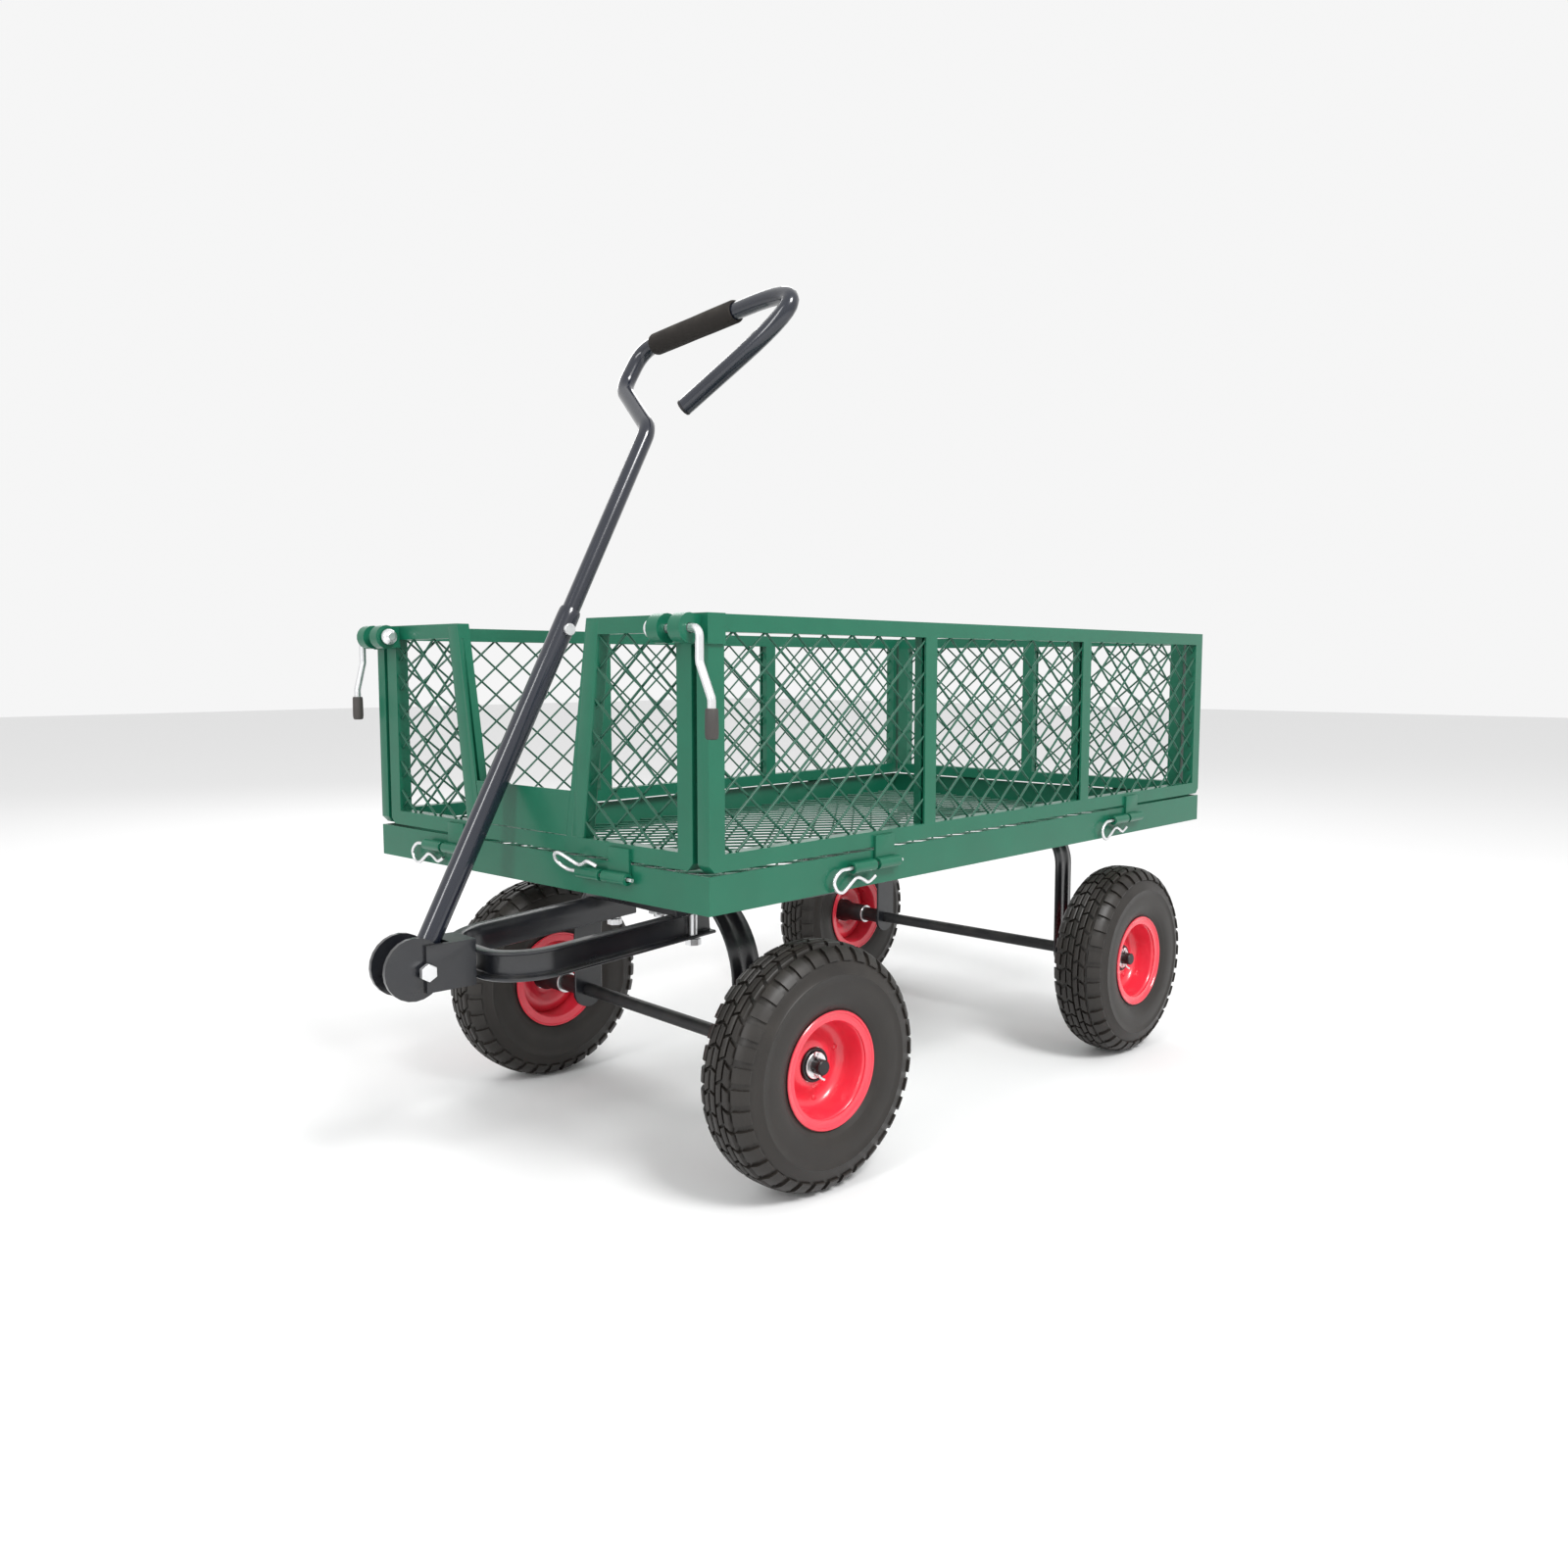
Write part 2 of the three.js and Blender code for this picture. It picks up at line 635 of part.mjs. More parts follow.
function latchLever(side) {
  const at = (y, z) => new THREE.Vector3(latchX, side * y, z);
  const path = bentPath([
    [at(nutInner - latchNutRadius, latchZ)],
    [at(leverCorner, latchZ), 9],
    [at(leverCorner, latchZ - leverDrop + 32), 12],
    [at(leverCorner + leverKink, latchZ - leverDrop), 10],
    [at(leverCorner + leverKink, latchZ - leverDrop - sleeveLength - 2)],
  ]);
  return sweep(path, latchRodRadius, 6, 18);
}

function latchNut(side) {
  const from = latchAt(side, nutInner - latchNutRadius + 2);
  const nut = bar(latchNutRadius, from, latchAt(side, nutInner), 12);
  const bore = latchRodRadius + seatGap;
  const rodHole = bar(bore, latchAt(side, nutInner - 20), latchAt(side, nutInner + 1), 10);
  return cut(nut, rodHole);
}

function latchSleeve(side) {
  const at = (z) => [latchX, side * (leverCorner + leverKink), z];
  const top = latchZ - leverDrop - 8;
  const bottom = top - sleeveLength;
  const tube = bar(sleeveRadius, at(top), at(bottom), 12);
  return cut(tube, bar(latchRodRadius + seatGap, at(top + 1), at(bottom + 2), 10));
}

// ---- wheels ----
function tyre() {
  const bead = beadRadius + seatGap;
  const inner = rimHalfWidth - rimWall - seatGap;
  const w = tyreHalfWidth;
  const half = [[bead, inner], [rimFlangeRadius + 1, inner], [rimFlangeRadius + 12, w - 2],
    [wheelRadius - 38, w], [wheelRadius - 14, w - 2], [wheelRadius - 3, w - 10], [wheelRadius, w - 22]];
  const mirrored = half.map(([r, y]) => [r, -y]).reverse();
  return turned([...half, ...mirrored], wheelFacets);
}

function rim() {
  const flange = rimFlangeRadius;
  const lip = rimHalfWidth;
  const seat = lip - rimWall;
  const drum = beadRadius - rimWall;
  const bore = hubRadius + seatGap;
  return turned([[flange, -lip], [flange, -seat], [beadRadius, -seat], [beadRadius, seat], [flange, seat],
    [flange, lip], [drum, lip], [drum, 9], [bore, 0.5], [bore, -2.5], [drum, 6], [drum, -lip]], wheelFacets);
}

function hub() {
  const bore = axleRadius + turningPlay;
  return turned([[bore, -hubOutboard], [bore, hubInboard], [hubRadius - 4, hubInboard], [hubRadius - 2, 12],
    [hubRadius, 8], [hubRadius, -hubOutboard]], 12);
}

// A wheel on one end of an axle; its dish faces outwards.
function wheel(place, side) {
  const group = new THREE.Group();
  group.add(named(`tyre_${place}`, tyre(), tyreRubber));
  group.add(named(`rim_${place}`, rim(), redPaint));
  group.add(named(`hub_${place}`, hub(), blackSteel));
  group.position.set(0, side * halfTrack, axleZ);
  group.rotation.z = side < 0 ? 0 : Math.PI;
  return group;
}

// ---- steering, in the frame of the kingpin: forward is -X ----
function turntable() {
  const bottom = strapTopFront + seatGap;
  const plate = bar(turntableRadius, [0, 0, bottom], [0, 0, bottom + turntableThickness], 24);
  return cut(plate, kingpinHole(turningPlay));
}

function kingpinHole(play) {
  return bar(kingpinRadius + play, [0, 0, baseBottom + 10], [0, 0, tailBottom], 16);
}

function drawbarTop(forward) {
  return drawbarTopAtNose + (drawbarNose - forward) * Math.tan(radians(drawbarTilt));
}

function frontStrap() {
  return cut(axleStrap(strapTopFront, frontLegHalf, frontShoulder), kingpinHole(turningPlay));
}

function crosspiece() {
  const top = strapTopFront - strapThickness - seatGap;
  const outline = [[-crosspieceFront, drawbarTop(crosspieceFront) + seatGap], [-crosspieceRear,
    drawbarTop(crosspieceRear) + seatGap], [-crosspieceRear, top], [-crosspieceFront, top]];
  const half = frontLegHalf - strapThickness - seatGap;
  const shoulder = frontShoulder - strapThickness - seatGap;
  const under = new THREE.Shape();
  under.moveTo(-half, 0);
  under.lineTo(half, 0);
  under.absarc(half - shoulder, top - shoulder, shoulder, 0, Math.PI / 2, false);
  under.absarc(-half + shoulder, top - shoulder, shoulder, Math.PI / 2, Math.PI, false);
  const block = prism('y', outline, -crosspieceHalf, crosspieceHalf)
    .intersect(prism('x', under, -crosspieceFront - 1, strapWidth, 16));
  const bolts = [-1, 1].map((side) => drawbarBoltHole(side, drawbarTop(drawbarBoltForward) + 14));
  return cut(block, kingpinHole(turningPlay), ...bolts);
}

function drawbarBoltHole(side, top) {
  const at = (z) => [-drawbarBoltForward, side * drawbarHalf, z];
  return bar(drawbarBoltRadius + seatGap + 0.2, at(tailBottom - 10), at(top), 10);
}

function kingpin() {
  const top = baseBottom + crossbarThickness - seatGap;
  const nutTop = drawbarTop(0) - 3;
  const pin = bar(kingpinRadius, [0, 0, nutTop - 18], [0, 0, top], 16);
  const nut = bar(kingpinNutRadius, [0, 0, nutTop - 14], [0, 0, nutTop], 6);
  return join(pin, nut);
}

// The strip between two offsets of the U, outwards positive.
function drawbarStrip(inner, outer) {
  const shape = new THREE.Shape();
  const follow = (offset, reverse) => {
    const half = drawbarHalf + offset;
    const nose = -(drawbarNose + offset - drawbarFlange / 2);
    const bend = drawbarBend + offset;
    if (!reverse) {
      shape.moveTo(-drawbarTail, -half);
      shape.lineTo(nose + bend, -half);
      shape.absarc(nose + bend, -half + bend, bend, -Math.PI / 2, -Math.PI, true);
      shape.lineTo(nose, half - bend);
      shape.absarc(nose + bend, half - bend, bend, Math.PI, Math.PI / 2, true);
      shape.lineTo(-drawbarTail, half);
    } else {
      shape.lineTo(-drawbarTail, half);
      shape.lineTo(nose + bend, half);
      shape.absarc(nose + bend, half - bend, bend, Math.PI / 2, Math.PI, false);
      shape.lineTo(nose, -half + bend);
      shape.absarc(nose + bend, -half + bend, bend, Math.PI, Math.PI * 1.5, false);
      shape.lineTo(-drawbarTail, -half);
    }
  };
  follow(outer, false);
  follow(inner, true);
  shape.closePath();
  return shape;
}

function drawbar() {
  const half = drawbarFlange / 2;
  const height = drawbarHeight / 2;
  const web = prism('z', drawbarStrip(-half, -half + drawbarWall), -height, height, 5);
  const lower = prism('z', drawbarStrip(-half, half), -height, -height + drawbarWall, 5);
  const upper = prism('z', drawbarStrip(-half, half), height - drawbarWall, height, 5);
  const level = join(web, lower, upper);
  const tilted = level.translate([drawbarNose, 0, 0]).rotate([0, -drawbarTilt, 0])
    .translate([-drawbarNose, 0, drawbarTopAtNose - height]);
  return cut(tilted, ...[-1, 1].map((side) => drawbarBoltHole(side, baseBottom)));
}

function drawbarBolt(side) {
  const at = (z) => [-drawbarBoltForward, side * drawbarHalf, z];
  const top = drawbarTop(drawbarBoltForward);
  const under = top - drawbarHeight - 1.2;
  const nut = bar(drawbarNutRadius, at(under - 7), at(under), 6);
  return join(bar(drawbarBoltRadius, at(under - 1), at(top + 13), 10), nut);
}

// Two round cheeks with tail plates and a web that stops the handle.
function tongueBracket() {
  const inner = lowerTubeRadius + 1;
  const outer = inner + cheekThickness;
  const centre = [-(pivotForward + cheekForward), pivotHeight + cheekLift];
  const parts = [];
  for (const side of [-1, 1]) {
    const [x, z] = centre;
    parts.push(bar(cheekRadius, [x, side * inner, z], [x, side * outer, z], 24));
    parts.push(box(-pivotForward, -bracketRear, side * (outer - 1), side * (outer + tailThickness),
      tailBottom, tailTop));
  }
  parts.push(box(-webFront, -bracketRear, -outer - 1, outer + 1, tailBottom, tailTop));
  const pivot = (y) => [-pivotForward, y, pivotHeight];
  return cut(join(...parts), bar(pivotBoltRadius + seatGap, pivot(-60), pivot(60)));
}

function pivotBolt() {
  const reach = lowerTubeRadius + 1 + cheekThickness + tailThickness + seatGap;
  const at = (y) => [-pivotForward, y, pivotHeight];
  const head = bar(pivotNutRadius, at(-reach - 6), at(-reach), 6);
  const nut = bar(pivotNutRadius, at(reach), at(reach + 8), 6);
  return join(bar(pivotBoltRadius, at(-reach - 6), at(reach + 12)), head, nut);
}

// ---- handle, upright in the frame of its pivot ----
function lowerTube() {
  const at = (z) => [0, 0, z];
  const tube = bar(lowerTubeRadius, at(-lowerTubeFoot), at(lowerTubeLength), 18);
  const boreRadius = lowerTubeRadius - lowerTubeWall;
  const bore = bar(boreRadius, at(-lowerTubeFoot - 1), at(lowerTubeLength + 1), 18);
  const boltHole = bar(pivotBoltRadius + turningPlay, [0, -20, 0], [0, 20, 0]);
  return cut(tube, bore, boltHole, buttonHole());
}

const buttonHeight = lowerTubeLength - 24;
function buttonHole() {
  return bar(buttonRadius + seatGap, [0, -30, buttonHeight], [0, 30, buttonHeight]);
}

function handlePoint(across, along) {
  return new THREE.Vector3(0, across, bendStart + along);
}
const bendCorners = handleBends.map(([across, along, radius]) => [handlePoint(across, along), radius]);
const gripCorner = bendCorners[2][0];
const farCorner = bendCorners[3][0];
const tubeEnd = handlePoint(...handleEnd);

function upperTube() {
  const path = bentPath([
    [new THREE.Vector3(0, 0, lowerTubeLength - tubeOverlap)],
    ...bendCorners,
    [tubeEnd],
  ]);
  return cut(sweep(path, upperTubeRadius, 8, 40, upperTubeRadius - upperTubeWall), buttonHole());
}

function alongGrip(across) {
  const t = (gripCorner.y - across) / (gripCorner.y - farCorner.y);
  return gripCorner.clone().lerp(farCorner, t).toArray();
}

function foamGrip() {
  const [from, to] = gripReach;
  const sleeve = bar(gripRadius, alongGrip(from), alongGrip(to), 18);
  return cut(sleeve, bar(upperTubeRadius + 0.5, alongGrip(from + 10), alongGrip(to - 10), 18));
}

function endPlug() {
  const ahead = tubeEnd.clone().sub(farCorner).normalize();
  const at = (distance) => tubeEnd.clone().addScaledVector(ahead, distance).toArray();
  const bore = upperTubeRadius - upperTubeWall;
  return join(bar(bore - 0.8, at(-12), at(1), 12), bar(upperTubeRadius, at(seatGap), at(3), 12));
}

function joinButton() {
  const reach = lowerTubeRadius + 2;
  const at = (y) => [0, y, buttonHeight];
  const head = bar(buttonHeadRadius, at(-reach - 2.5), at(-reach + 1.5));
  return join(bar(buttonRadius, at(-reach), at(reach)), head);
}

function handleUnit() {
  const group = new THREE.Group();
  group.add(named('handle_lower_tube', lowerTube(), handlePaint));
  group.add(named('handle_upper_tube', upperTube(), handlePaint));
  group.add(named('handle_grip', foamGrip(), foam));
  group.add(named('handle_end_plug', endPlug(), blackSteel));
  group.add(named('handle_join_button', joinButton(), zincPlate));
  group.position.set(-pivotForward, 0, pivotHeight);
  group.rotation.y = radians(handleLean);
  return group;
}

// ---- whole cart ----
const cart = new THREE.Group();
cart.add(named('base_frame', baseFrame(), greenPaint));
cart.add(named('floor_mesh', floorMesh(), greenWire));
cart.add(named('front_bolster', frontBolster(), blackPaint));
for (const hinge of hinges) {
  cart.add(named(`r_clip_${hinge.panel}_${hinge.number}`, clip(hinge), zincPlate));
}
for (const [side, place] of [[-1, 'near'], [1, 'far']]) {
  cart.add(named(`side_panel_${place}`, sidePanel(side), greenPaint));
  cart.add(named(`side_mesh_${place}`, sideMesh(side), greenWire));
  cart.add(named(`latch_lever_${place}`, latchLever(side), zincPlate));
  cart.add(named(`latch_nut_${place}`, latchNut(side), zincPlate));
  cart.add(named(`latch_sleeve_${place}`, latchSleeve(side), sleeveRubber));
}
cart.add(named('front_panel', frontPanel(), greenPaint));
cart.add(named('front_mesh', frontMesh(), greenWire));
cart.add(named('front_plate', frontPlate(), greenPaint));
cart.add(named('rear_panel', rearPanel(), greenPaint));
cart.add(named('rear_mesh', rearMesh(), greenWire));

const rearUnit = new THREE.Group();
const rearStrap = axleStrap(baseBottom - seatGap, rearLegHalf, rearShoulder);
rearUnit.add(named('rear_axle_strap', rearStrap, blackPaint));
rearUnit.add(named('rear_axle', axle(rearLegHalf), zincPlate));
rearUnit.add(wheel('rear_near', -1));
rearUnit.add(wheel('rear_far', 1));
rearUnit.position.x = rearAxleX;
cart.add(rearUnit);

const steering = new THREE.Group();
steering.add(named('turntable_plate', turntable(), blackSteel));
steering.add(named('front_axle_strap', frontStrap(), blackPaint));
steering.add(named('front_axle', axle(frontLegHalf), zincPlate));
steering.add(named('steering_crosspiece', crosspiece(), blackPaint));
steering.add(named('kingpin', kingpin(), zincPlate));
steering.add(named('drawbar', drawbar(), blackPaint));
steering.add(named('drawbar_bolt_near', drawbarBolt(-1), zincPlate));
steering.add(named('drawbar_bolt_far', drawbarBolt(1), zincPlate));
steering.add(named('tongue_bracket', tongueBracket(), blackPaint));
steering.add(named('pivot_bolt', pivotBolt(), zincPlate));
steering.add(wheel('front_near', -1));
steering.add(wheel('front_far', 1));
steering.add(handleUnit());
steering.position.x = frontAxleX;
steering.rotation.z = radians(steerAngle);
cart.add(steering);

cart.updateMatrixWorld(true);
const bounds = new THREE.Box3().setFromObject(cart, true);
const centre = bounds.getCenter(new THREE.Vector3());
cart.position.set(-centre.x, -centre.y, -bounds.min.z);

export default cart;
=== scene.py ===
# Garden cart: mesh-sided bed, pneumatic wheels, turntable steering and a bent pull handle.
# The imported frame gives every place; this script adds the finished surfaces around it.
import json
import math
import random

import bmesh
import bpy
from mathutils import Matrix, Vector


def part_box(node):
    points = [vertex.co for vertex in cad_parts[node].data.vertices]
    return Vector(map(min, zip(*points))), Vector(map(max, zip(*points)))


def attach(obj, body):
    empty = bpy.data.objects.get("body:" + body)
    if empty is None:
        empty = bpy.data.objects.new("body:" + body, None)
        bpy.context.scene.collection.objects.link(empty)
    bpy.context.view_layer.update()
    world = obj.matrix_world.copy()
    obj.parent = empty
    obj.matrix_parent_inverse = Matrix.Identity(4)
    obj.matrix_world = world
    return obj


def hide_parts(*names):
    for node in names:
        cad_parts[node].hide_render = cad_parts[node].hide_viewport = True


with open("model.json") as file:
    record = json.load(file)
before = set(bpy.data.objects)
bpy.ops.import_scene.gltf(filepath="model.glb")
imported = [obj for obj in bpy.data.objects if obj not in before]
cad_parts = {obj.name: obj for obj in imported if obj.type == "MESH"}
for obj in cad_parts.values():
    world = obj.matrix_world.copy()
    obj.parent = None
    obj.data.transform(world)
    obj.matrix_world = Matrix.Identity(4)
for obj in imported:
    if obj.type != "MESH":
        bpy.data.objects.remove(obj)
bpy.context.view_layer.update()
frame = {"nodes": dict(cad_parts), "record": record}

mm = 0.001
random.seed(7)
joints = {joint["name"]: joint for joint in frame["record"]["behaviour"]["joints"]}
slotOf = {part["node"]: part["material_slot"] for part in frame["record"]["subparts"]}
bodyOf = {node: body for body, nodes in frame["record"]["behaviour"]["bodies"].items() for node in nodes}
ends = {"near": -1, "far": 1}
print("frame loaded:", len(slotOf), "nodes")


# The effects that finishes share are node groups that put out a mask, a value or a height.
def newGroup(name, inputs, outputs):
    group = bpy.data.node_groups.new(name, "ShaderNodeTree")
    for label, value in inputs.items():
        socket = group.interface.new_socket(label, in_out="INPUT", socket_type="NodeSocketFloat")
        socket.default_value = value
    for label in outputs:
        group.interface.new_socket(label, in_out="OUTPUT", socket_type="NodeSocketFloat")
    return group, group.nodes.new("NodeGroupInput"), group.nodes.new("NodeGroupOutput")


def objectNoise(group, given, scaleSocket, detail, stretch=(1, 1, 1)):
    place = group.nodes.new("ShaderNodeTexCoord")
    mapping = group.nodes.new("ShaderNodeMapping")
    mapping.inputs["Scale"].default_value = stretch
    noise = group.nodes.new("ShaderNodeTexNoise")
    noise.inputs["Detail"].default_value = detail
    group.links.new(place.outputs["Object"], mapping.inputs["Vector"])
    group.links.new(mapping.outputs["Vector"], noise.inputs["Vector"])
    group.links.new(given.outputs[scaleSocket], noise.inputs["Scale"])
    return noise


def makeGrain():  # fine surface height, and slow patches of tone
    group, given, out = newGroup("surfaceGrain", {"Fine": 900.0, "Slow": 14.0}, ["Height", "Tone"])
    fine = objectNoise(group, given, "Fine", 2)
    slow = objectNoise(group, given, "Slow", 4)
    group.links.new(fine.outputs["Fac"], out.inputs["Height"])
    group.links.new(slow.outputs["Fac"], out.inputs["Tone"])
    return group


settled = {"facing": (-0.2, 1.0), "patches": (0.42, 0.72)}  # ranges of upward tilt and of noise


def makeDust():  # dust that settles on faces that look up, broken by noise
    group, given, out = newGroup("settledDust", {"Scale": 30.0, "Amount": 0.3}, ["Mask"])
    noise = objectNoise(group, given, "Scale", 6)
    geometry = group.nodes.new("ShaderNodeNewGeometry")
    split = group.nodes.new("ShaderNodeSeparateXYZ")
    group.links.new(geometry.outputs["Normal"], split.inputs["Vector"])
    raised = group.nodes.new("ShaderNodeMapRange")
    raised.inputs["From Min"].default_value = settled["facing"][0]
    raised.inputs["From Max"].default_value = settled["facing"][1]
    group.links.new(split.outputs["Z"], raised.inputs["Value"])
    ramp = group.nodes.new("ShaderNodeMapRange")
    ramp.inputs["From Min"].default_value = settled["patches"][0]
    ramp.inputs["From Max"].default_value = settled["patches"][1]
    group.links.new(noise.outputs["Fac"], ramp.inputs["Value"])
    both = group.nodes.new("ShaderNodeMath")
    both.operation = "MULTIPLY"
    group.links.new(raised.outputs["Result"], both.inputs[0])
    group.links.new(ramp.outputs["Result"], both.inputs[1])
    scaled = group.nodes.new("ShaderNodeMath")
    scaled.operation = "MULTIPLY"
    group.links.new(both.outputs["Value"], scaled.inputs[0])
    group.links.new(given.outputs["Amount"], scaled.inputs[1])
    group.links.new(scaled.outputs["Value"], out.inputs["Mask"])
    return group


grainGroup = makeGrain()
dustGroup = makeDust()


def mixColour(tree, mask, base, other):
    mix = tree.nodes.new("ShaderNodeMix")
    mix.data_type = "RGBA"
    tree.links.new(mask, mix.inputs["Factor"])
    for socket, value in (("A", base), ("B", other)):
        target = [s for s in mix.inputs if s.name == socket and s.type == "RGBA"][0]
        if isinstance(value, tuple):
            target.default_value = (*value, 1)
        else:
            tree.links.new(value, target)
    return [s for s in mix.outputs if s.type == "RGBA"][0]


# What a finish has when it doesn't say otherwise.
usual = {"slow": 14, "dustScale": 40, "dustColour": (0.32, 0.29, 0.24), "bumpDepth": 0.0003, "metal": 0,
         "coat": 0, "coatRough": 0.15, "specular": 0.5}


def makeFinish(name, values):
    finish = {**usual, **values}
    material = bpy.data.materials.new(name)
    material.use_nodes = True
    tree = material.node_tree
    shader = tree.nodes["Principled BSDF"]
    grain = tree.nodes.new("ShaderNodeGroup")
    grain.node_tree = grainGroup
    grain.inputs["Fine"].default_value = finish["fine"]
    grain.inputs["Slow"].default_value = finish["slow"]
    dust = tree.nodes.new("ShaderNodeGroup")
    dust.node_tree = dustGroup
    dust.inputs["Amount"].default_value = finish["dust"]
    dust.inputs["Scale"].default_value = finish["dustScale"]
    toned = mixColour(tree, grain.outputs["Tone"], finish["colour"], finish["second"])
    dusted = mixColour(tree, dust.outputs["Mask"], toned, finish["dustColour"])
    tree.links.new(dusted, shader.inputs["Base Color"])
    rough = tree.nodes.new("ShaderNodeMapRange")
    rough.inputs["To Min"].default_value = finish["rough"][0]
    rough.inputs["To Max"].default_value = finish["rough"][1]
    tree.links.new(grain.outputs["Tone"], rough.inputs["Value"])
    tree.links.new(rough.outputs["Result"], shader.inputs["Roughness"])
    bump = tree.nodes.new("ShaderNodeBump")
    bump.inputs["Strength"].default_value = finish["bump"]
    bump.inputs["Distance"].default_value = finish["bumpDepth"]
    tree.links.new(grain.outputs["Height"], bump.inputs["Height"])
    tree.links.new(bump.outputs["Normal"], shader.inputs["Normal"])
    shader.inputs["Metallic"].default_value = finish["metal"]
    shader.inputs["Coat Weight"].default_value = finish["coat"]
    shader.inputs["Coat Roughness"].default_value = finish["coatRough"]
    shader.inputs["Specular IOR Level"].default_value = finish["specular"]
    return material


finishes = {
    "green_paint": {"colour": (0.004, 0.092, 0.050), "second": (0.007, 0.128, 0.071), "rough": (0.28, 0.42),
                    "coat": 0.18, "coatRough": 0.14, "fine": 700, "bump": 0.10, "dust": 0.04,
                    "specular": 0.32},
    "green_wire": {"colour": (0.004, 0.060, 0.035), "second": (0.009, 0.098, 0.056), "rough": (0.3, 0.5),
                   "coat": 0.12, "fine": 1500, "bump": 0.15, "dust": 0.08, "specular": 0.35},
    "black_paint": {"colour": (0.006, 0.007, 0.009), "second": (0.011, 0.012, 0.016), "rough": (0.22, 0.36),
                    "coat": 0.35, "coatRough": 0.16, "fine": 700, "bump": 0.08, "dust": 0.10},
    "handle_paint": {"colour": (0.008, 0.010, 0.017), "second": (0.012, 0.015, 0.025), "rough": (0.18, 0.26),
                     "coat": 0.5, "coatRough": 0.06, "fine": 260, "bump": 0.01, "dust": 0.02,
                     "specular": 0.45},
    "red_paint": {"colour": (0.66, 0.020, 0.042), "second": (0.80, 0.036, 0.066), "rough": (0.22, 0.36),
                  "coat": 0.5, "coatRough": 0.12, "fine": 500, "bump": 0.06, "dust": 0.08},
    "zinc_plate": {"colour": (0.70, 0.71, 0.72), "second": (0.84, 0.84, 0.85), "rough": (0.2, 0.40),
                   "metal": 0.85, "fine": 1800, "bump": 0.08, "dust": 0.06},
    "tyre_rubber": {"colour": (0.011, 0.009, 0.008), "second": (0.021, 0.018, 0.015), "rough": (0.34, 0.56),
                    "fine": 1300, "bump": 0.22, "dust": 0.16, "dustColour": (0.10, 0.085, 0.07),
                    "specular": 0.4},
    "black_steel": {"colour": (0.012, 0.012, 0.013), "second": (0.026, 0.026, 0.028), "rough": (0.3, 0.5),
                    "metal": 0.4, "fine": 1200, "bump": 0.12, "dust": 0.12},
    "foam": {"colour": (0.016, 0.014, 0.013), "second": (0.030, 0.026, 0.023), "rough": (0.8, 0.95),
             "fine": 1600, "bump": 0.6, "bumpDepth": 0.0006, "dust": 0.1, "specular": 0.25},
    "sleeve_rubber": {"colour": (0.028, 0.025, 0.024), "second": (0.050, 0.044, 0.040), "rough": (0.5, 0.7),
                      "fine": 1200, "bump": 0.3, "dust": 0.15},
}
materials = {name: makeFinish(name, values) for name, values in finishes.items()}
print("materials:", len(materials))

easing = {"segments": 3, "angle": 40}


def finishPiece(name, mesh, node, smoothAngle=35, replaces=True, bevel=0, slot=None):
    slot = slot or slotOf[node]
    mesh.materials.clear()
    mesh.materials.append(materials[slot])
    for face in mesh.polygons:
        face.use_smooth = True
    mesh.set_sharp_from_angle(angle=math.radians(smoothAngle))
    piece = bpy.data.objects.new(name, mesh)
    bpy.context.scene.collection.objects.link(piece)
    if bevel:
        rounding = piece.modifiers.new("edges", "BEVEL")
        rounding.width = bevel
        rounding.segments = easing["segments"]
        rounding.limit_method = "ANGLE"
        rounding.angle_limit = math.radians(easing["angle"])
    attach(piece, bodyOf[node])
    if replaces:
        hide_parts(node)
    return piece


def closeUp(bm):
    bmesh.ops.remove_doubles(bm, verts=bm.verts, dist=1e-6)
    bmesh.ops.recalc_face_normals(bm, faces=bm.faces)


def meshOf(name, bm):
    mesh = bpy.data.meshes.new(name)
    bm.to_mesh(mesh)
    bm.free()
    return mesh


def bmeshPiece(name, bm, node, place=None, **more):
    closeUp(bm)
    if place is not None:
        bmesh.ops.transform(bm, matrix=place, verts=bm.verts)
    return finishPiece(name, meshOf(name, bm), node, **more)


def spunProfile(bm, points, steps, closed=True):  # (radius, along the axle) about the axle
    verts = [bm.verts.new((0, y * mm, r * mm)) for r, y in points]
    pairs = list(zip(verts, verts[1:])) + ([(verts[-1], verts[0])] if closed else [])
    edges = [bm.edges.new(pair) for pair in pairs]
    bmesh.ops.spin(bm, geom=verts + edges, cent=(0, 0, 0), axis=(0, 1, 0), angle=math.tau, steps=steps,
                   use_merge=True)


def refined(node, bevel=0.0008):  # a CAD shape with its edges eased
    bm = bmesh.new()
    bm.from_mesh(frame["nodes"][node].data)
    bmesh.ops.remove_doubles(bm, verts=bm.verts, dist=1e-5)
    bmesh.ops.dissolve_limit(bm, angle_limit=math.radians(1), verts=bm.verts, edges=bm.edges)
    return bmeshPiece(node + "_body", bm, node, bevel=bevel)


def bentPoints(corners, perBend):  # corners are (point, bend radius); bends are eased arcs
    path = [Vector(corners[0][0])]
    for before, (corner, radius), after in zip(corners, corners[1:-1], corners[2:]):
        corner = Vector(corner)
        back = (Vector(before[0]) - corner).normalized()
        ahead = (Vector(after[0]) - corner).normalized()
        reach = radius / math.tan(back.angle(ahead) / 2)
        start, end = corner + back * reach, corner + ahead * reach
        for i in range(perBend + 1):
            t = i / perBend
            path.append(start * (1 - t) ** 2 + corner * 2 * t * (1 - t) + end * t ** 2)
    path.append(Vector(corners[-1][0]))
    return path


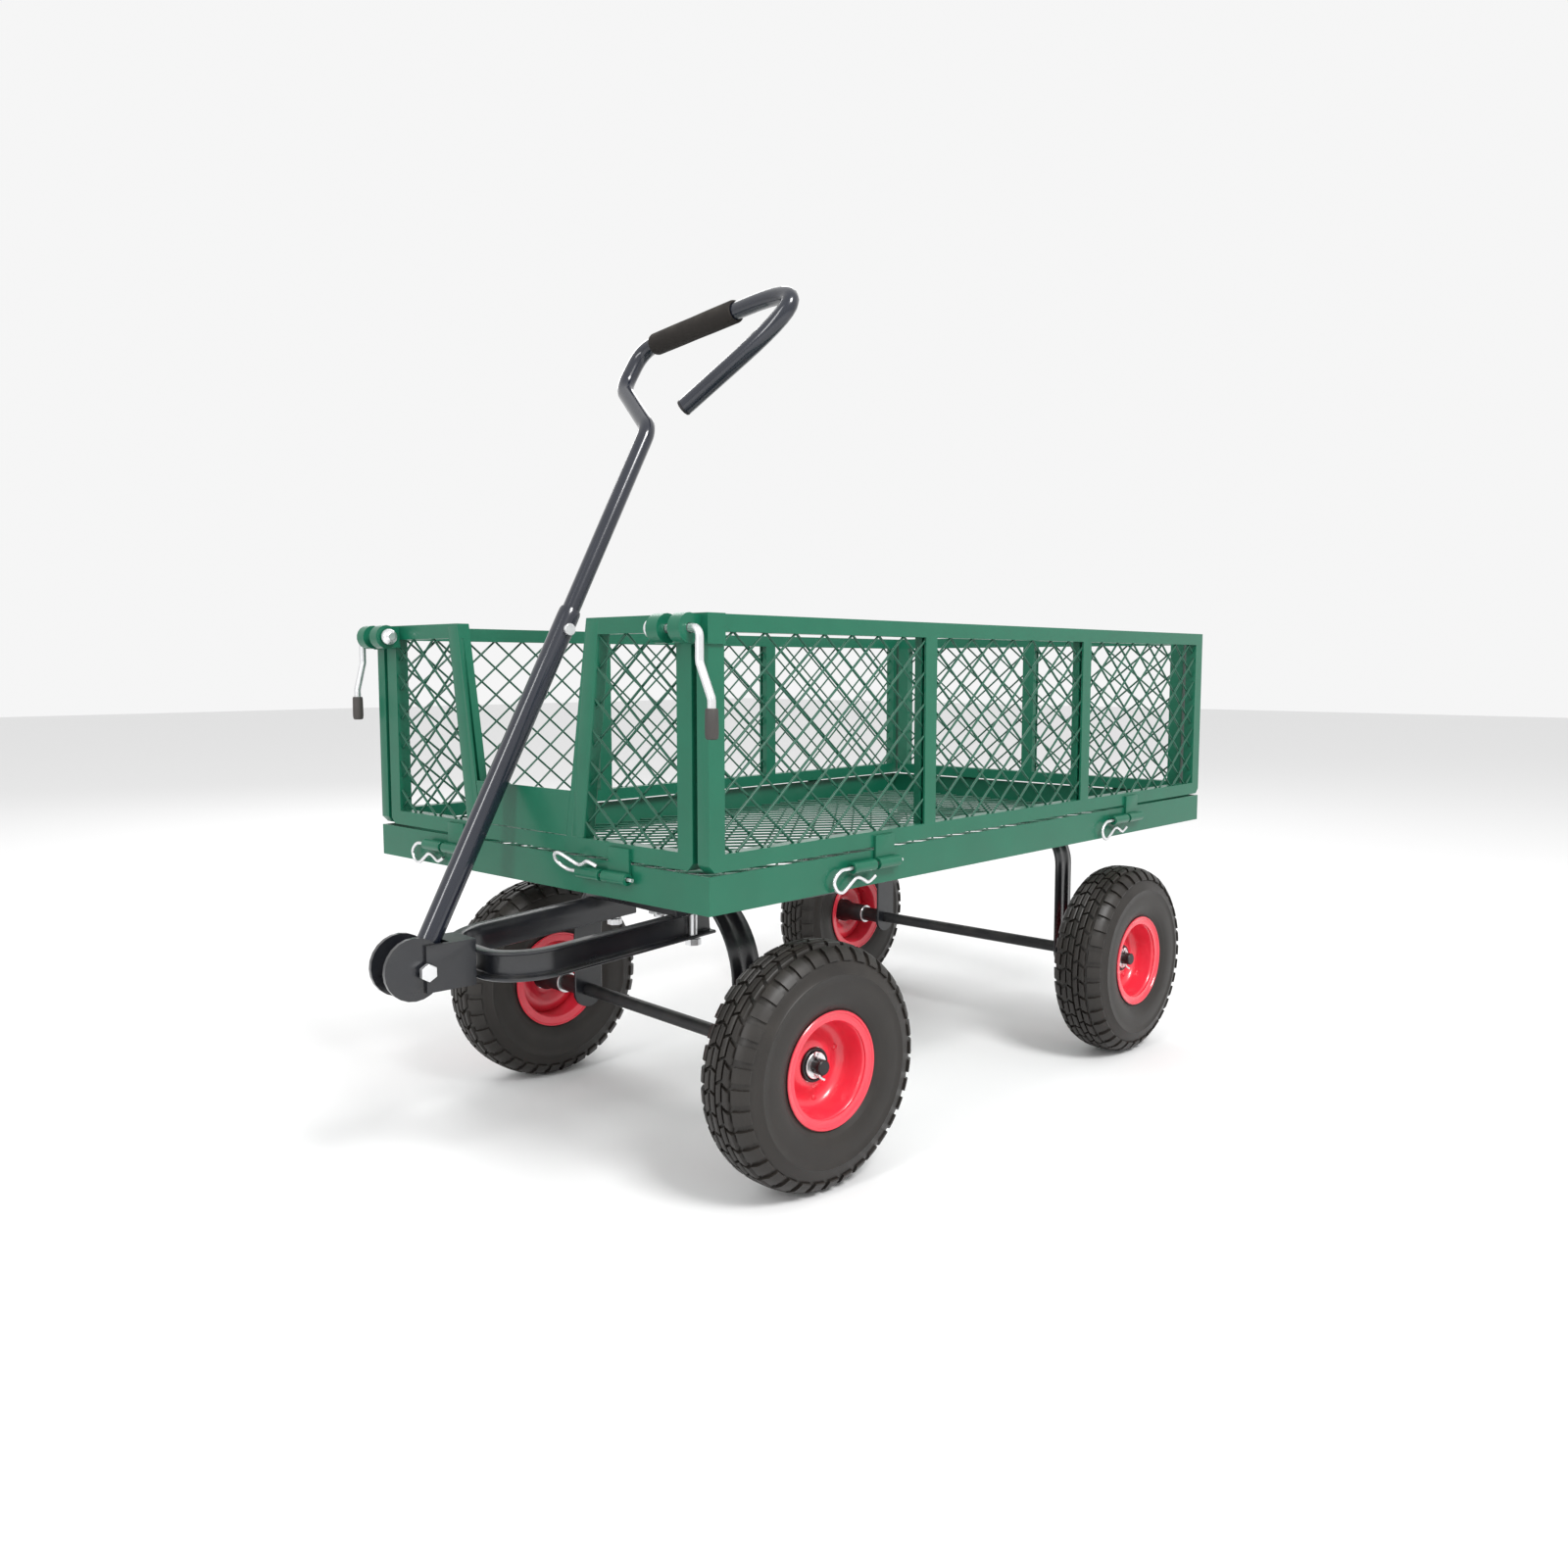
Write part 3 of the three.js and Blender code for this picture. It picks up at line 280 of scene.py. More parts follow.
def wireMesh(name, points, radius, smooth):
    curve = bpy.data.curves.new(name, "CURVE")
    curve.dimensions = "3D"
    curve.bevel_depth = radius
    curve.bevel_resolution = 4
    curve.use_fill_caps = True
    spline = curve.splines.new("NURBS" if smooth else "POLY")
    spline.points.add(len(points) - 1)
    for point, place in zip(spline.points, points):
        point.co = (*place, 1)
    if smooth:
        spline.use_endpoint_u = True
        spline.order_u = 3
        spline.resolution_u = 6
    helper = bpy.data.objects.new(name, curve)
    bpy.context.scene.collection.objects.link(helper)
    bpy.context.view_layer.update()
    mesh = bpy.data.meshes.new_from_object(helper.evaluated_get(bpy.context.evaluated_depsgraph_get()))
    bpy.data.objects.remove(helper)
    bpy.data.curves.remove(curve)
    return mesh


def wirePiece(name, points, radius, node, place=None, smooth=False, replaces=True):
    mesh = wireMesh(name, points, radius, smooth)
    if place is not None:
        mesh.transform(place)
    return finishPiece(name, mesh, node, smoothAngle=50, replaces=replaces)


# The sheets are two layers of straight wires that cross; "apart" is each layer's place off the middle,
# in wire radii, and "least" the shortest part of a line that is kept.
weave = {"wide": 42 * mm, "tall": 34 * mm, "wire": 1.4 * mm, "sides": 6, "apart": 0.9, "least": 0.003}


def clipLine(start, end, outline):  # the part of a line inside a convex outline that runs anticlockwise
    low, high = 0.0, 1.0
    for corner, following in zip(outline, outline[1:] + outline[:1]):
        edge = (following[0] - corner[0], following[1] - corner[1])
        atStart, atEnd = (edge[0] * (p[1] - corner[1]) - edge[1] * (p[0] - corner[0]) for p in (start, end))
        if atStart < 0 and atEnd < 0:
            return None
        if atStart < 0 or atEnd < 0:
            crossing = atStart / (atStart - atEnd)
            if atStart < 0:
                low = max(low, crossing)
            else:
                high = min(high, crossing)
    return (low, high) if high - low > weave["least"] else None


def addWire(bm, start, end):
    along = end - start
    turn = along.to_track_quat("Z", "Y").to_matrix().to_4x4()
    bmesh.ops.create_cone(bm, cap_ends=True, segments=weave["sides"], radius1=weave["wire"],
                          radius2=weave["wire"], depth=along.length,
                          matrix=Matrix.Translation((start + end) / 2) @ turn)


def wovenSheet(name, node, toPlace, outlines):  # toPlace makes a point from across, up and out
    bm = bmesh.new()
    across = [point[0] for outline in outlines for point in outline]
    up = [point[1] for outline in outlines for point in outline]
    centre = ((min(across) + max(across)) / 2, (min(up) + max(up)) / 2)
    step = weave["wide"]
    slope = weave["tall"] / weave["wide"]
    reach = (max(up) - min(up)) / (2 * slope) + step
    count = int(((max(across) - min(across)) / 2 + reach) / step) + 1
    for layer, lean in ((-1, 1), (1, -1)):
        out = layer * weave["wire"] * weave["apart"]
        for i in range(-count, count + 1):
            crosses = centre[0] + i * step
            start = (crosses - reach, centre[1] - lean * slope * reach)
            end = (crosses + reach, centre[1] + lean * slope * reach)
            for outline in outlines:
                part = clipLine(start, end, outline)
                if part:
                    addWire(bm, *(toPlace(start[0] + (end[0] - start[0]) * t,
                                          start[1] + (end[1] - start[1]) * t, out) for t in part))
    return finishPiece(name, meshOf(name, bm), node, smoothAngle=70)


def rectangle(lo, hi, a, b):  # a box's outline across two of its axes
    return [(lo[a], lo[b]), (hi[a], lo[b]), (hi[a], hi[b]), (lo[a], hi[b])]


grow = 0.4 * mm  # wires run up to the rails they are welded to
for place in ends:
    lo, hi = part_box("side_mesh_" + place)
    middle = (lo[1] + hi[1]) / 2
    outline = rectangle((lo[0] - grow, 0, lo[2] - grow), (hi[0] + grow, 0, hi[2] + grow), 0, 2)
    wovenSheet("side_wires_" + place, "side_mesh_" + place, lambda u, v, w: Vector((u, middle + w, v)),
               [outline])
lo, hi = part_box("rear_mesh")
middle = (lo[0] + hi[0]) / 2
outline = rectangle((0, lo[1] - grow, lo[2] - grow), (0, hi[1] + grow, hi[2] + grow), 1, 2)
wovenSheet("rear_wires", "rear_mesh", lambda u, v, w: Vector((middle + w, u, v)), [outline])

# The front sheet has a bay on each side of the notch, and a low part behind the small plate.
notch = {"topHalf": 123 * mm, "floorHalf": 86 * mm, "railTop": 583 * mm, "underPlateTop": 6 * mm}


def notchHalf(z, foot):  # half the notch's width at a height, if it is floorHalf wide at the foot
    slope = (notch["topHalf"] - notch["floorHalf"]) / (notch["railTop"] - foot)
    return notch["floorHalf"] + (z - foot) * slope


lo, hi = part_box("front_mesh")
middle = (lo[0] + hi[0]) / 2
meshFoot = lo[2]
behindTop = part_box("front_plate")[1][2] - notch["underPlateTop"]
footEdge, topEdge, behindEdge = (notchHalf(z, meshFoot) for z in (meshFoot, hi[2], behindTop))
farBay = [(footEdge, meshFoot), (hi[1], meshFoot), (hi[1], hi[2]), (topEdge, hi[2])]
nearBay = [(-across, up) for across, up in reversed(farBay)]
behind = [(-footEdge, meshFoot), (footEdge, meshFoot), (behindEdge, behindTop), (-behindEdge, behindTop)]
wovenSheet("front_wires", "front_mesh", lambda u, v, w: Vector((middle + w, u, v)),
           [farBay, nearBay, behind])
lo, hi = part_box("floor_mesh")
middle = (lo[2] + hi[2]) / 2
floorFoot = lo[2]
wovenSheet("floor_wires", "floor_mesh", lambda u, v, w: Vector((u, v, middle + w)), [rectangle(lo, hi, 0, 1)])
print("wire sheets done")

# Frames and brackets keep their CAD shapes, with eased edges.
for node in ["side_panel_near", "side_panel_far", "front_panel", "rear_panel"]:
    refined(node, 0.0014)
for node in ["base_frame", "front_plate", "front_bolster", "steering_crosspiece", "tongue_bracket",
             "turntable_plate"]:
    refined(node)
for node in ["kingpin", "drawbar_bolt_near", "drawbar_bolt_far", "pivot_bolt", "handle_join_button",
             "handle_end_plug"]:
    refined(node, 0.0004)

post = {"half": 10 * mm, "depth": 15 * mm, "proud": 0.2 * mm, "below": 2 * mm, "underRail": 1.5 * mm,
        "round": 2.6 * mm}


def slantedPosts():  # the two posts beside the notch, whole and round-edged; they lean from the floor's foot
    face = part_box("front_plate")[0][0]
    bottom, top = meshFoot - post["below"], notch["railTop"] - post["underRail"]
    for place, sign in ends.items():
        bm = bmesh.new()
        corners = [(sign * (notchHalf(z, floorFoot) + side * post["half"]), z) for z, side in
                   ((bottom, -1), (bottom, 1), (top, 1), (top, -1))]
        front = bm.faces.new([bm.verts.new((face - post["proud"], y, z)) for y, z in corners])
        made = bmesh.ops.extrude_face_region(bm, geom=[front])["geom"]
        moved = [g for g in made if isinstance(g, bmesh.types.BMVert)]
        bmesh.ops.translate(bm, vec=(post["depth"] + 2 * post["proud"], 0, 0), verts=moved)
        bmesh.ops.bevel(bm, geom=list(bm.edges), offset=post["round"], offset_type="OFFSET", affect="EDGES",
                        segments=4, profile=0.5, material=-1)
        bmeshPiece("front_post_" + place, bm, "front_panel", replaces=False)


slantedPosts()
print("frames done")


def jointPlace(name):
    return Vector(joints[name]["pos_m"])


lateral = -Vector(joints["handle_drop"]["axis"]).normalized()
steerTurn = math.atan2(-lateral.x, lateral.y)
kingpin = jointPlace("steering_turn")
steeringFrame = Matrix.Translation((kingpin.x, kingpin.y, 0)) @ Matrix.Rotation(steerTurn, 4, "Z")
handleLean = math.radians(27.5)
handleFrame = (Matrix.Translation(jointPlace("handle_drop")) @ Matrix.Rotation(steerTurn, 4, "Z")
               @ Matrix.Rotation(handleLean, 4, "Y"))


# Straps and the drawbar are one closed section each, drawn and spun along its run.
def loopOf(bm, points):
    verts = [bm.verts.new(p) for p in points]
    return [bm.edges.new((a, b)) for a, b in zip(verts, verts[1:] + verts[:1])]


def drawOn(bm, edges, move):
    made = bmesh.ops.extrude_edge_only(bm, edges=edges)["geom"]
    bmesh.ops.translate(bm, vec=move, verts=[g for g in made if isinstance(g, bmesh.types.BMVert)])
    return [g for g in made if isinstance(g, bmesh.types.BMEdge) and g.is_boundary and g not in edges]


def spinOn(bm, edges, centre, axis, angle, steps):
    verts = list({v for e in edges for v in e.verts})
    made = bmesh.ops.spin(bm, geom=verts + edges, cent=centre, axis=axis, angle=angle, steps=steps)
    return [g for g in made["geom_last"] if isinstance(g, bmesh.types.BMEdge)]


def fillEnds(bm):
    bmesh.ops.holes_fill(bm, edges=[e for e in bm.edges if e.is_boundary])


strap = {"width": 40 * mm, "thick": 4 * mm, "edge": 1 * mm, "rib": 1.6 * mm, "ribHalf": 3 * mm,
         "ribSide": 2 * mm, "ribShoulder": 0.6, "ribAt": 9 * mm, "foot": 107 * mm, "footRise": 20 * mm,
         "bendSteps": 16}


def strapSection():  # across the strap, with two pressed ribs on its outer face
    half, edge, rib = strap["width"] / 2, strap["edge"], strap["ribHalf"]
    shoulder = edge + strap["rib"] * strap["ribShoulder"]
    outer = [(-half, 0), (-half + edge, edge)]
    for at in (-strap["ribAt"], strap["ribAt"]):
        outer += [(at - rib - strap["ribSide"], edge), (at - rib, shoulder), (at, edge + strap["rib"]),
                  (at + rib, shoulder), (at + rib + strap["ribSide"], edge)]
    outer += [(half - edge, edge), (half, 0)]
    deep = strap["thick"] - 2 * edge
    inner = [(half, -deep), (half - edge, -deep - edge), (-half + edge, -deep - edge), (-half, -deep)]
    return [(x, -y) for x, y in outer + inner]


def axleStrap(name, node, top, legHalf, shoulder, place):
    bm = bmesh.new()
    inset = strap["edge"] + strap["rib"]
    footZ = strap["foot"] + strap["footRise"]
    bendZ = top - shoulder
    edges = loopOf(bm, [(x, -(legHalf - inset) + y, footZ) for x, y in strapSection()])
    edges = drawOn(bm, edges, (0, 0, bendZ - footZ))
    edges = spinOn(bm, edges, (0, -legHalf + shoulder, bendZ), (1, 0, 0), -math.pi / 2, strap["bendSteps"])
    edges = drawOn(bm, edges, (0, 2 * (legHalf - shoulder), 0))
    edges = spinOn(bm, edges, (0, legHalf - shoulder, bendZ), (1, 0, 0), -math.pi / 2, strap["bendSteps"])
    drawOn(bm, edges, (0, 0, footZ - bendZ))
    fillEnds(bm)
    for side in (-1, 1):
        foot = Matrix.Translation((0, side * (legHalf - strap["thick"] / 2 - strap["rib"] / 2), footZ))
        bmesh.ops.create_cone(bm, cap_ends=True, segments=48, radius1=strap["width"] / 2,
                              radius2=strap["width"] / 2, depth=strap["thick"],
                              matrix=foot @ Matrix.Rotation(math.pi / 2, 4, "X"))
    return bmeshPiece(name, bm, node, place)


lo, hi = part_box("rear_axle_strap")
rearFrame = Matrix.Translation(((lo[0] + hi[0]) / 2, 0, 0))
axleStrap("rear_strap", "rear_axle_strap", hi[2], 167 * mm, 60 * mm, rearFrame)
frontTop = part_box("front_axle_strap")[1][2]
axleStrap("front_strap", "front_axle_strap", frontTop, 157 * mm, 100 * mm, steeringFrame)

bar = {"height": 31 * mm, "flange": 14 * mm, "wall": 3.5 * mm, "half": 76 * mm, "nose": 250 * mm,
       "bend": 55 * mm, "bendSteps": 16, "tail": -15 * mm, "top": 248 * mm, "tilt": 4.2, "lip": 1.1 * mm}


def drawbarSection():  # out from the U's middle line, and up; the open side faces outwards
    tall, deep, wall, lip = bar["height"] / 2, bar["flange"] / 2, bar["wall"], bar["lip"]
    upper = [(-deep, 0), (-deep, tall - 2.5 * lip), (-deep + 0.8 * lip, tall - 0.8 * lip),
             (-deep + 2.5 * lip, tall), (deep - lip, tall), (deep, tall - lip), (deep, tall - wall + lip),
             (deep - lip, tall - wall), (-deep + wall + lip, tall - wall), (-deep + wall, tall - wall - lip)]
    return upper + [(out, -up) for out, up in reversed(upper) if up > 0]


def makeDrawbar():
    bm = bmesh.new()
    nose = -(bar["nose"] - bar["flange"] / 2)
    bendX = nose + bar["bend"]
    side = bar["half"] - bar["bend"]
    edges = loopOf(bm, [(-bar["tail"], -bar["half"] - out, up) for out, up in drawbarSection()])
    edges = drawOn(bm, edges, (bendX + bar["tail"], 0, 0))
    edges = spinOn(bm, edges, (bendX, -side, 0), (0, 0, 1), -math.pi / 2, bar["bendSteps"])
    edges = drawOn(bm, edges, (0, 2 * side, 0))
    edges = spinOn(bm, edges, (bendX, side, 0), (0, 0, 1), -math.pi / 2, bar["bendSteps"])
    drawOn(bm, edges, (-bar["tail"] - nose - bar["bend"], 0, 0))
    fillEnds(bm)
    tilt = (Matrix.Translation((-bar["nose"], 0, bar["top"] - bar["height"] / 2))
            @ Matrix.Rotation(math.radians(-bar["tilt"]), 4, "Y") @ Matrix.Translation((bar["nose"], 0, 0)))
    return bmeshPiece("drawbar_channel", bm, "drawbar", steeringFrame @ tilt)


makeDrawbar()

# In millimetres. A split pin's points are forward, out along the axle and up.
axle = {"reach": 274, "rod": 8, "height": 129, "chamfer": (1, 1.2), "inner": 204.6, "outer": 260.4,
        "spacerPlay": 0.1, "spacerWall": 3, "legGap": 0.4, "washerGap": 0.2, "washer": 14, "thick": 2,
        "washerEdge": 0.5, "pin": 1.5, "pinGap": 2.6,
        "pinRoute": [(0, 0, 13), (-3, 0, 15.5), (-4.5, 0, 12.5), (-1, 0, 9), (0, 0, 4), (0, 0, -9),
                     (2, 1.5, -13), (6, 3, -15)]}


def wheelAxle(place, node, legHalf, where):  # a dark rod and spacers, with bright washers and split pins
    at = where @ Matrix.Translation((0, 0, axle["height"] * mm))
    reach, rod, thick = axle["reach"], axle["rod"], axle["thick"]
    cutIn, cutBack = axle["chamfer"]
    bm = bmesh.new()
    spunProfile(bm, [(0, -reach), (rod - cutIn, -reach), (rod, -reach + cutBack), (rod, reach - cutBack),
                     (rod - cutIn, reach), (0, reach)], 40, closed=False)
    bore, skin = rod + axle["spacerPlay"], rod + axle["spacerWall"]
    for sign in (-1, 1):
        low, high = sorted((sign * (legHalf + axle["legGap"]),
                            sign * (axle["inner"] - thick - axle["washerGap"])))
        spunProfile(bm, [(bore, low), (skin, low), (skin, high), (bore, high)], 40)
    bmeshPiece("axle_rod_" + place, bm, node, at, slot="black_steel")
    bm = bmesh.new()
    bore, skin, edge = rod + axle["washerGap"], axle["washer"], axle["washerEdge"]
    for sign in (-1, 1):
        for start in (axle["inner"] - thick, axle["outer"]):
            low, high = sorted((sign * start, sign * (start + thick)))
            spunProfile(bm, [(bore, low), (skin - edge, low), (skin, low + edge), (skin, high - edge),
                             (skin - edge, high), (bore, high)], 48)
    bmeshPiece("axle_washers_" + place, bm, node, at, replaces=False)
    for side, sign in ends.items():
        y = sign * (axle["outer"] + thick + axle["pinGap"])
        points = [Vector((x, y + sign * out, z)) * mm for x, out, z in axle["pinRoute"]]
        wirePiece(f"split_pin_{place}_{side}", points, axle["pin"] * mm, node, at,
                  smooth=True, replaces=False)


wheelAxle("front", "front_axle", 157, steeringFrame)
wheelAxle("rear", "rear_axle", 167, rearFrame)
print("straps, axles and drawbar done")

# Wheel outlines are (radius, out from the middle), in millimetres. A row of blocks is its section, the
# share of a pitch that a block fills, its lean, and how many pitches it is set back.
tyre = {"steps": 120, "pitches": 36, "blockSteps": 3,
        "half": [(51.2, 0), (51.2, 29.2), (62.4, 29.4), (64.5, 31.2), (68, 32.8), (69.2, 33.8), (70.6, 33.9),
                 (72, 34.8), (80, 36.4), (90, 36.9), (97, 36.6), (98, 37.3), (99.4, 37.3), (100.4, 36.3),
                 (108, 34.6), (114, 32), (119, 28), (122.6, 22), (124.6, 14), (125.2, 6), (125.4, 0)],
        "crown": [(123, 0.9), (128, 1.2), (128.9, 2.2), (128.8, 6.8), (128, 7.8), (122.6, 8.2)],
        "middle": [(122.4, 9.6), (127.6, 10), (128.5, 11), (127.9, 16), (126.8, 17), (121, 17.6)],
        "shoulder": [(119, 19.8), (125.2, 20.2), (126.2, 21.2), (123.2, 27.6), (118.6, 31.8), (114.6, 34.6),
                     (113.2, 34.4), (112, 30)],
        "rows": (("crown", 0.84, 4.5, 0.0), ("middle", 0.78, -5.5, 0.45), ("shoulder", 0.66, 0.0, 0.2))}


def treadBlock(bm, section, start, sweep, lean):  # one block: a section spun through a small angle
    verts = [bm.verts.new((0, y * mm, r * mm)) for r, y in section]
    edges = [bm.edges.new(pair) for pair in zip(verts, verts[1:] + verts[:1])]
    made = bmesh.ops.spin(bm, geom=verts + edges, cent=(0, 0, 0), axis=(0, 1, 0), angle=sweep,
                          steps=tyre["blockSteps"])
    last = [g for g in made["geom_last"] if isinstance(g, bmesh.types.BMEdge)]
    bmesh.ops.contextual_create(bm, geom=edges)
    bmesh.ops.contextual_create(bm, geom=last)
    reached, fringe = set(verts), list(verts)
    while fringe:
        for edge in fringe.pop().link_edges:
            for vert in edge.verts:
                if vert not in reached:
                    reached.add(vert)
                    fringe.append(vert)
    for vert in reached:
        turn = Matrix.Rotation(start + lean * vert.co.y, 3, "Y")
        bmesh.ops.rotate(bm, verts=[vert], cent=(0, 0, 0), matrix=turn)


def makeTyreMesh():
    bm = bmesh.new()
    other = [(r, -y) for r, y in reversed(tyre["half"][1:-1])]
    spunProfile(bm, tyre["half"] + other, tyre["steps"])
    step = math.tau / tyre["pitches"]
    for i in range(tyre["pitches"]):
        for sign in (-1, 1):
            shift = 0.5 * step if sign > 0 else 0
            for section, part, lean, offset in tyre["rows"]:
                points = [(r, sign * y) for r, y in tyre[section]]
                treadBlock(bm, points, i * step + shift + offset * step, part * step, sign * lean)
    closeUp(bm)
    return meshOf("tyre", bm)


rim = {"steps": 96,
       "outside": [(61.5, -31.2), (60.6, -32), (59.2, -31.6), (58.4, -30.4), (52.6, -28.6), (50.2, -26.5),
                   (49.2, -24), (48.9, -6), (47.6, -1.5), (44.4, 2.6), (40, 4.6), (35, 4.2), (30, 1.6),
                   (26, -1.6), (22.5, -3.4), (18.3, -3.6)],
       "inside": [(18.3, -1.2), (22.2, -1), (25, 0.6), (29.4, 4), (34.6, 6.6), (40.4, 7), (45.8, 4.8),
                  (48.9, 2), (48.9, 26), (50.4, 28.8), (58.6, 30.6), (59.6, 32), (61, 31.9), (61.5, 31),
                  (61, 29.7), (51, 29.2), (51, -29.2), (61, -29.7)],
       "bumps": 4, "bumpTurn": 0.4, "bumpAt": (0, 4.4 * mm, 40 * mm), "bumpFlat": 0.4, "bumpRadius": 3.4 * mm}


def makeRimMesh():
    bm = bmesh.new()
    spunProfile(bm, rim["outside"] + rim["inside"], rim["steps"])
    for i in range(rim["bumps"]):
        turn = Matrix.Rotation(i * math.tau / rim["bumps"] + rim["bumpTurn"], 4, "Y")
        bump = turn @ Matrix.Translation(rim["bumpAt"]) @ Matrix.Diagonal((1, rim["bumpFlat"], 1, 1))
        bmesh.ops.create_icosphere(bm, subdivisions=3, radius=rim["bumpRadius"], matrix=bump)
    closeUp(bm)
    return meshOf("rim", bm)


hub = {"steps": 64,
       "outline": [(8.4, -6), (9.2, -6.6), (10.8, -6.8), (11.2, -6.2), (11.6, -5.4), (14.4, -5.4),
                   (14.8, -6.4), (15.4, -7), (17.2, -7), (17.9, -6.2), (18, 8), (16, 12), (14, 20), (14, 48),
                   (13.4, 49), (8.4, 49)]}


def makeHubMesh():
    bm = bmesh.new()
    spunProfile(bm, hub["outline"], hub["steps"])
    closeUp(bm)
    return meshOf("hub", bm)


wheelMeshes = {"tyre": makeTyreMesh(), "rim": makeRimMesh(), "hub": makeHubMesh()}
for place in ("rear_near", "rear_far", "front_near", "front_far"):
    spin = joints[f"wheel_{place}_spin"]
    turn = (steerTurn if place.startswith("front") else 0) + (0 if place.endswith("near") else math.pi)
    matrix = Matrix.Translation(Vector(spin["pos_m"])) @ Matrix.Rotation(turn, 4, "Z")
    roll = Matrix.Rotation(random.uniform(0, math.tau), 4, "Y")
    for part, mesh in wheelMeshes.items():
        copy = mesh.copy()
        copy.transform(matrix @ roll)
        finishPiece(f"{part}_shape_{place}", copy, f"{part}_{place}", smoothAngle=38)
print("wheels done")

# Places on the handle are across it and along it past "start"; a bend has its radius third.
handle = {"lower": (-18, 409), "start": 618, "overlap": 80, "upperRadius": 9.5 * mm,
          "bends": [(0, 22, 28), (93, 92, 30), (88, 148, 30), (-230, 177, 40)], "end": (-55, 42),
          "perBend": 14, "grip": ((64, 150), (-76, 163))}


def inHandle(across, along):
    return Vector((0, across, handle["start"] + along)) * mm


def tubePiece(name, node, profile, place):
    bm = bmesh.new()
    spunProfile(bm, profile, 48)
    bmesh.ops.rotate(bm, verts=bm.verts, cent=(0, 0, 0), matrix=Matrix.Rotation(math.pi / 2, 3, "X"))
    return bmeshPiece(name, bm, node, place)


foot, head = handle["lower"]
tubePiece("lower_tube", "handle_lower_tube",
          [(10.4, foot), (12, foot), (12, head - 10), (11.8, head - 3), (11, head), (9.9, head),
           (9.9, head - 60), (10.4, head - 70)], handleFrame)
corners = [((0, 0, (head - handle["overlap"]) * mm), 0)]
corners += [(inHandle(across, along), radius * mm) for across, along, radius in handle["bends"]]
corners += [(inHandle(*handle["end"]), 0)]
wirePiece("upper_tube", bentPoints(corners, handle["perBend"]), handle["upperRadius"], "handle_upper_tube",
          handleFrame)
gripFrom, gripTo = (inHandle(*place) for place in handle["grip"])
gripAlong = gripTo - gripFrom
gripTurn = gripAlong.to_track_quat("Z", "Y").to_matrix().to_4x4()
length = gripAlong.length / mm
tubePiece("foam_grip", "handle_grip",
          [(9.7, 0.5), (10.6, 0), (12, 0.8), (12.5, 2.6), (12.6, length * 0.3), (12.4, length * 0.5),
           (12.6, length * 0.7), (12.5, length - 2.6), (12, length - 0.8), (10.6, length),
           (9.7, length - 0.5)], handleFrame @ Matrix.Translation(gripFrom) @ gripTurn)
print("handle done")

latch = {"rod": 4 * mm, "nutAt": 231, "pastNut": 9, "corner": 290, "kinkAt": 30, "kink": 15, "drop": 62,
         "tip": 91, "sleeveBelow": 8, "bends": (9 * mm, 12 * mm, 10 * mm), "perBend": 8,
         "nut": [(4.1, 0), (8.4, 0), (9, 0.8), (9, 3), (8.2, 5.8), (6.2, 8), (4.1, 9)],
         "sleeve": [(4.2, 0), (5.2, 0), (5.8, -1.5), (6, -12), (6.1, -22), (5.6, -26), (4.2, -27),
                    (0.01, -27), (0.01, -25), (4.2, -24)]}


def makeLatch(place, sign):
    axis = jointPlace(f"latch_{place}_turn")

    def at(across, drop):
        return Vector((axis.x, sign * across * mm, axis.z - drop * mm))

    corner, leg = latch["corner"], latch["corner"] + latch["kink"]
    atCorner, atKink, atLeg = latch["bends"]
    path = bentPoints([(at(latch["nutAt"] - latch["pastNut"], 0), 0), (at(corner, 0), atCorner),
                       (at(corner, latch["kinkAt"]), atKink), (at(leg, latch["drop"]), atLeg),
                       (at(leg, latch["tip"]), 0)], latch["perBend"])
    wirePiece("latch_rod_" + place, path, latch["rod"], "latch_lever_" + place)
    nutPlace = Matrix.Translation(at(latch["nutAt"], 0)) @ Matrix.Rotation(sign * math.pi / 2, 4, "X")
    tubePiece("latch_dome_" + place, "latch_nut_" + place, latch["nut"], nutPlace)
    sleeveTop = at(leg, latch["drop"] + latch["sleeveBelow"])
    tubePiece("latch_grip_" + place, "latch_sleeve_" + place, latch["sleeve"], Matrix.Translation(sleeveTop))


for place, sign in ends.items():
    makeLatch(place, sign)
print("latches done")

# A clip's straight wire is the hinge pin; its wavy leg hangs, or is raised on one front clip.
clip = {"wire": 1.9 * mm, "head": -46.5, "tip": 44.5, "hangs": -90, "raised": 55,
        "wave": [(0, 0), (-7, 0), (-13, 3), (-18, 8), (-19, 13), (-14, 21), (-8, 23), (-3, 22), (3, 18),
                 (9, 14), (14, 10.5), (19, 10), (24, 12), (28, 14), (33, 17), (38, 16.5), (46, 12)]}
hinge = {"out": 6.5 * mm, "z": 334 * mm, "sideX": 268 * mm, "endY": 141 * mm}
faces = {"near": ("x", -1, 284 * mm), "far": ("x", 1, 284 * mm), "front": ("y", -1, 497.5 * mm),
         "rear": ("y", 1, 497.5 * mm)}
panelMiddle = jointPlace("side_near_fold").x


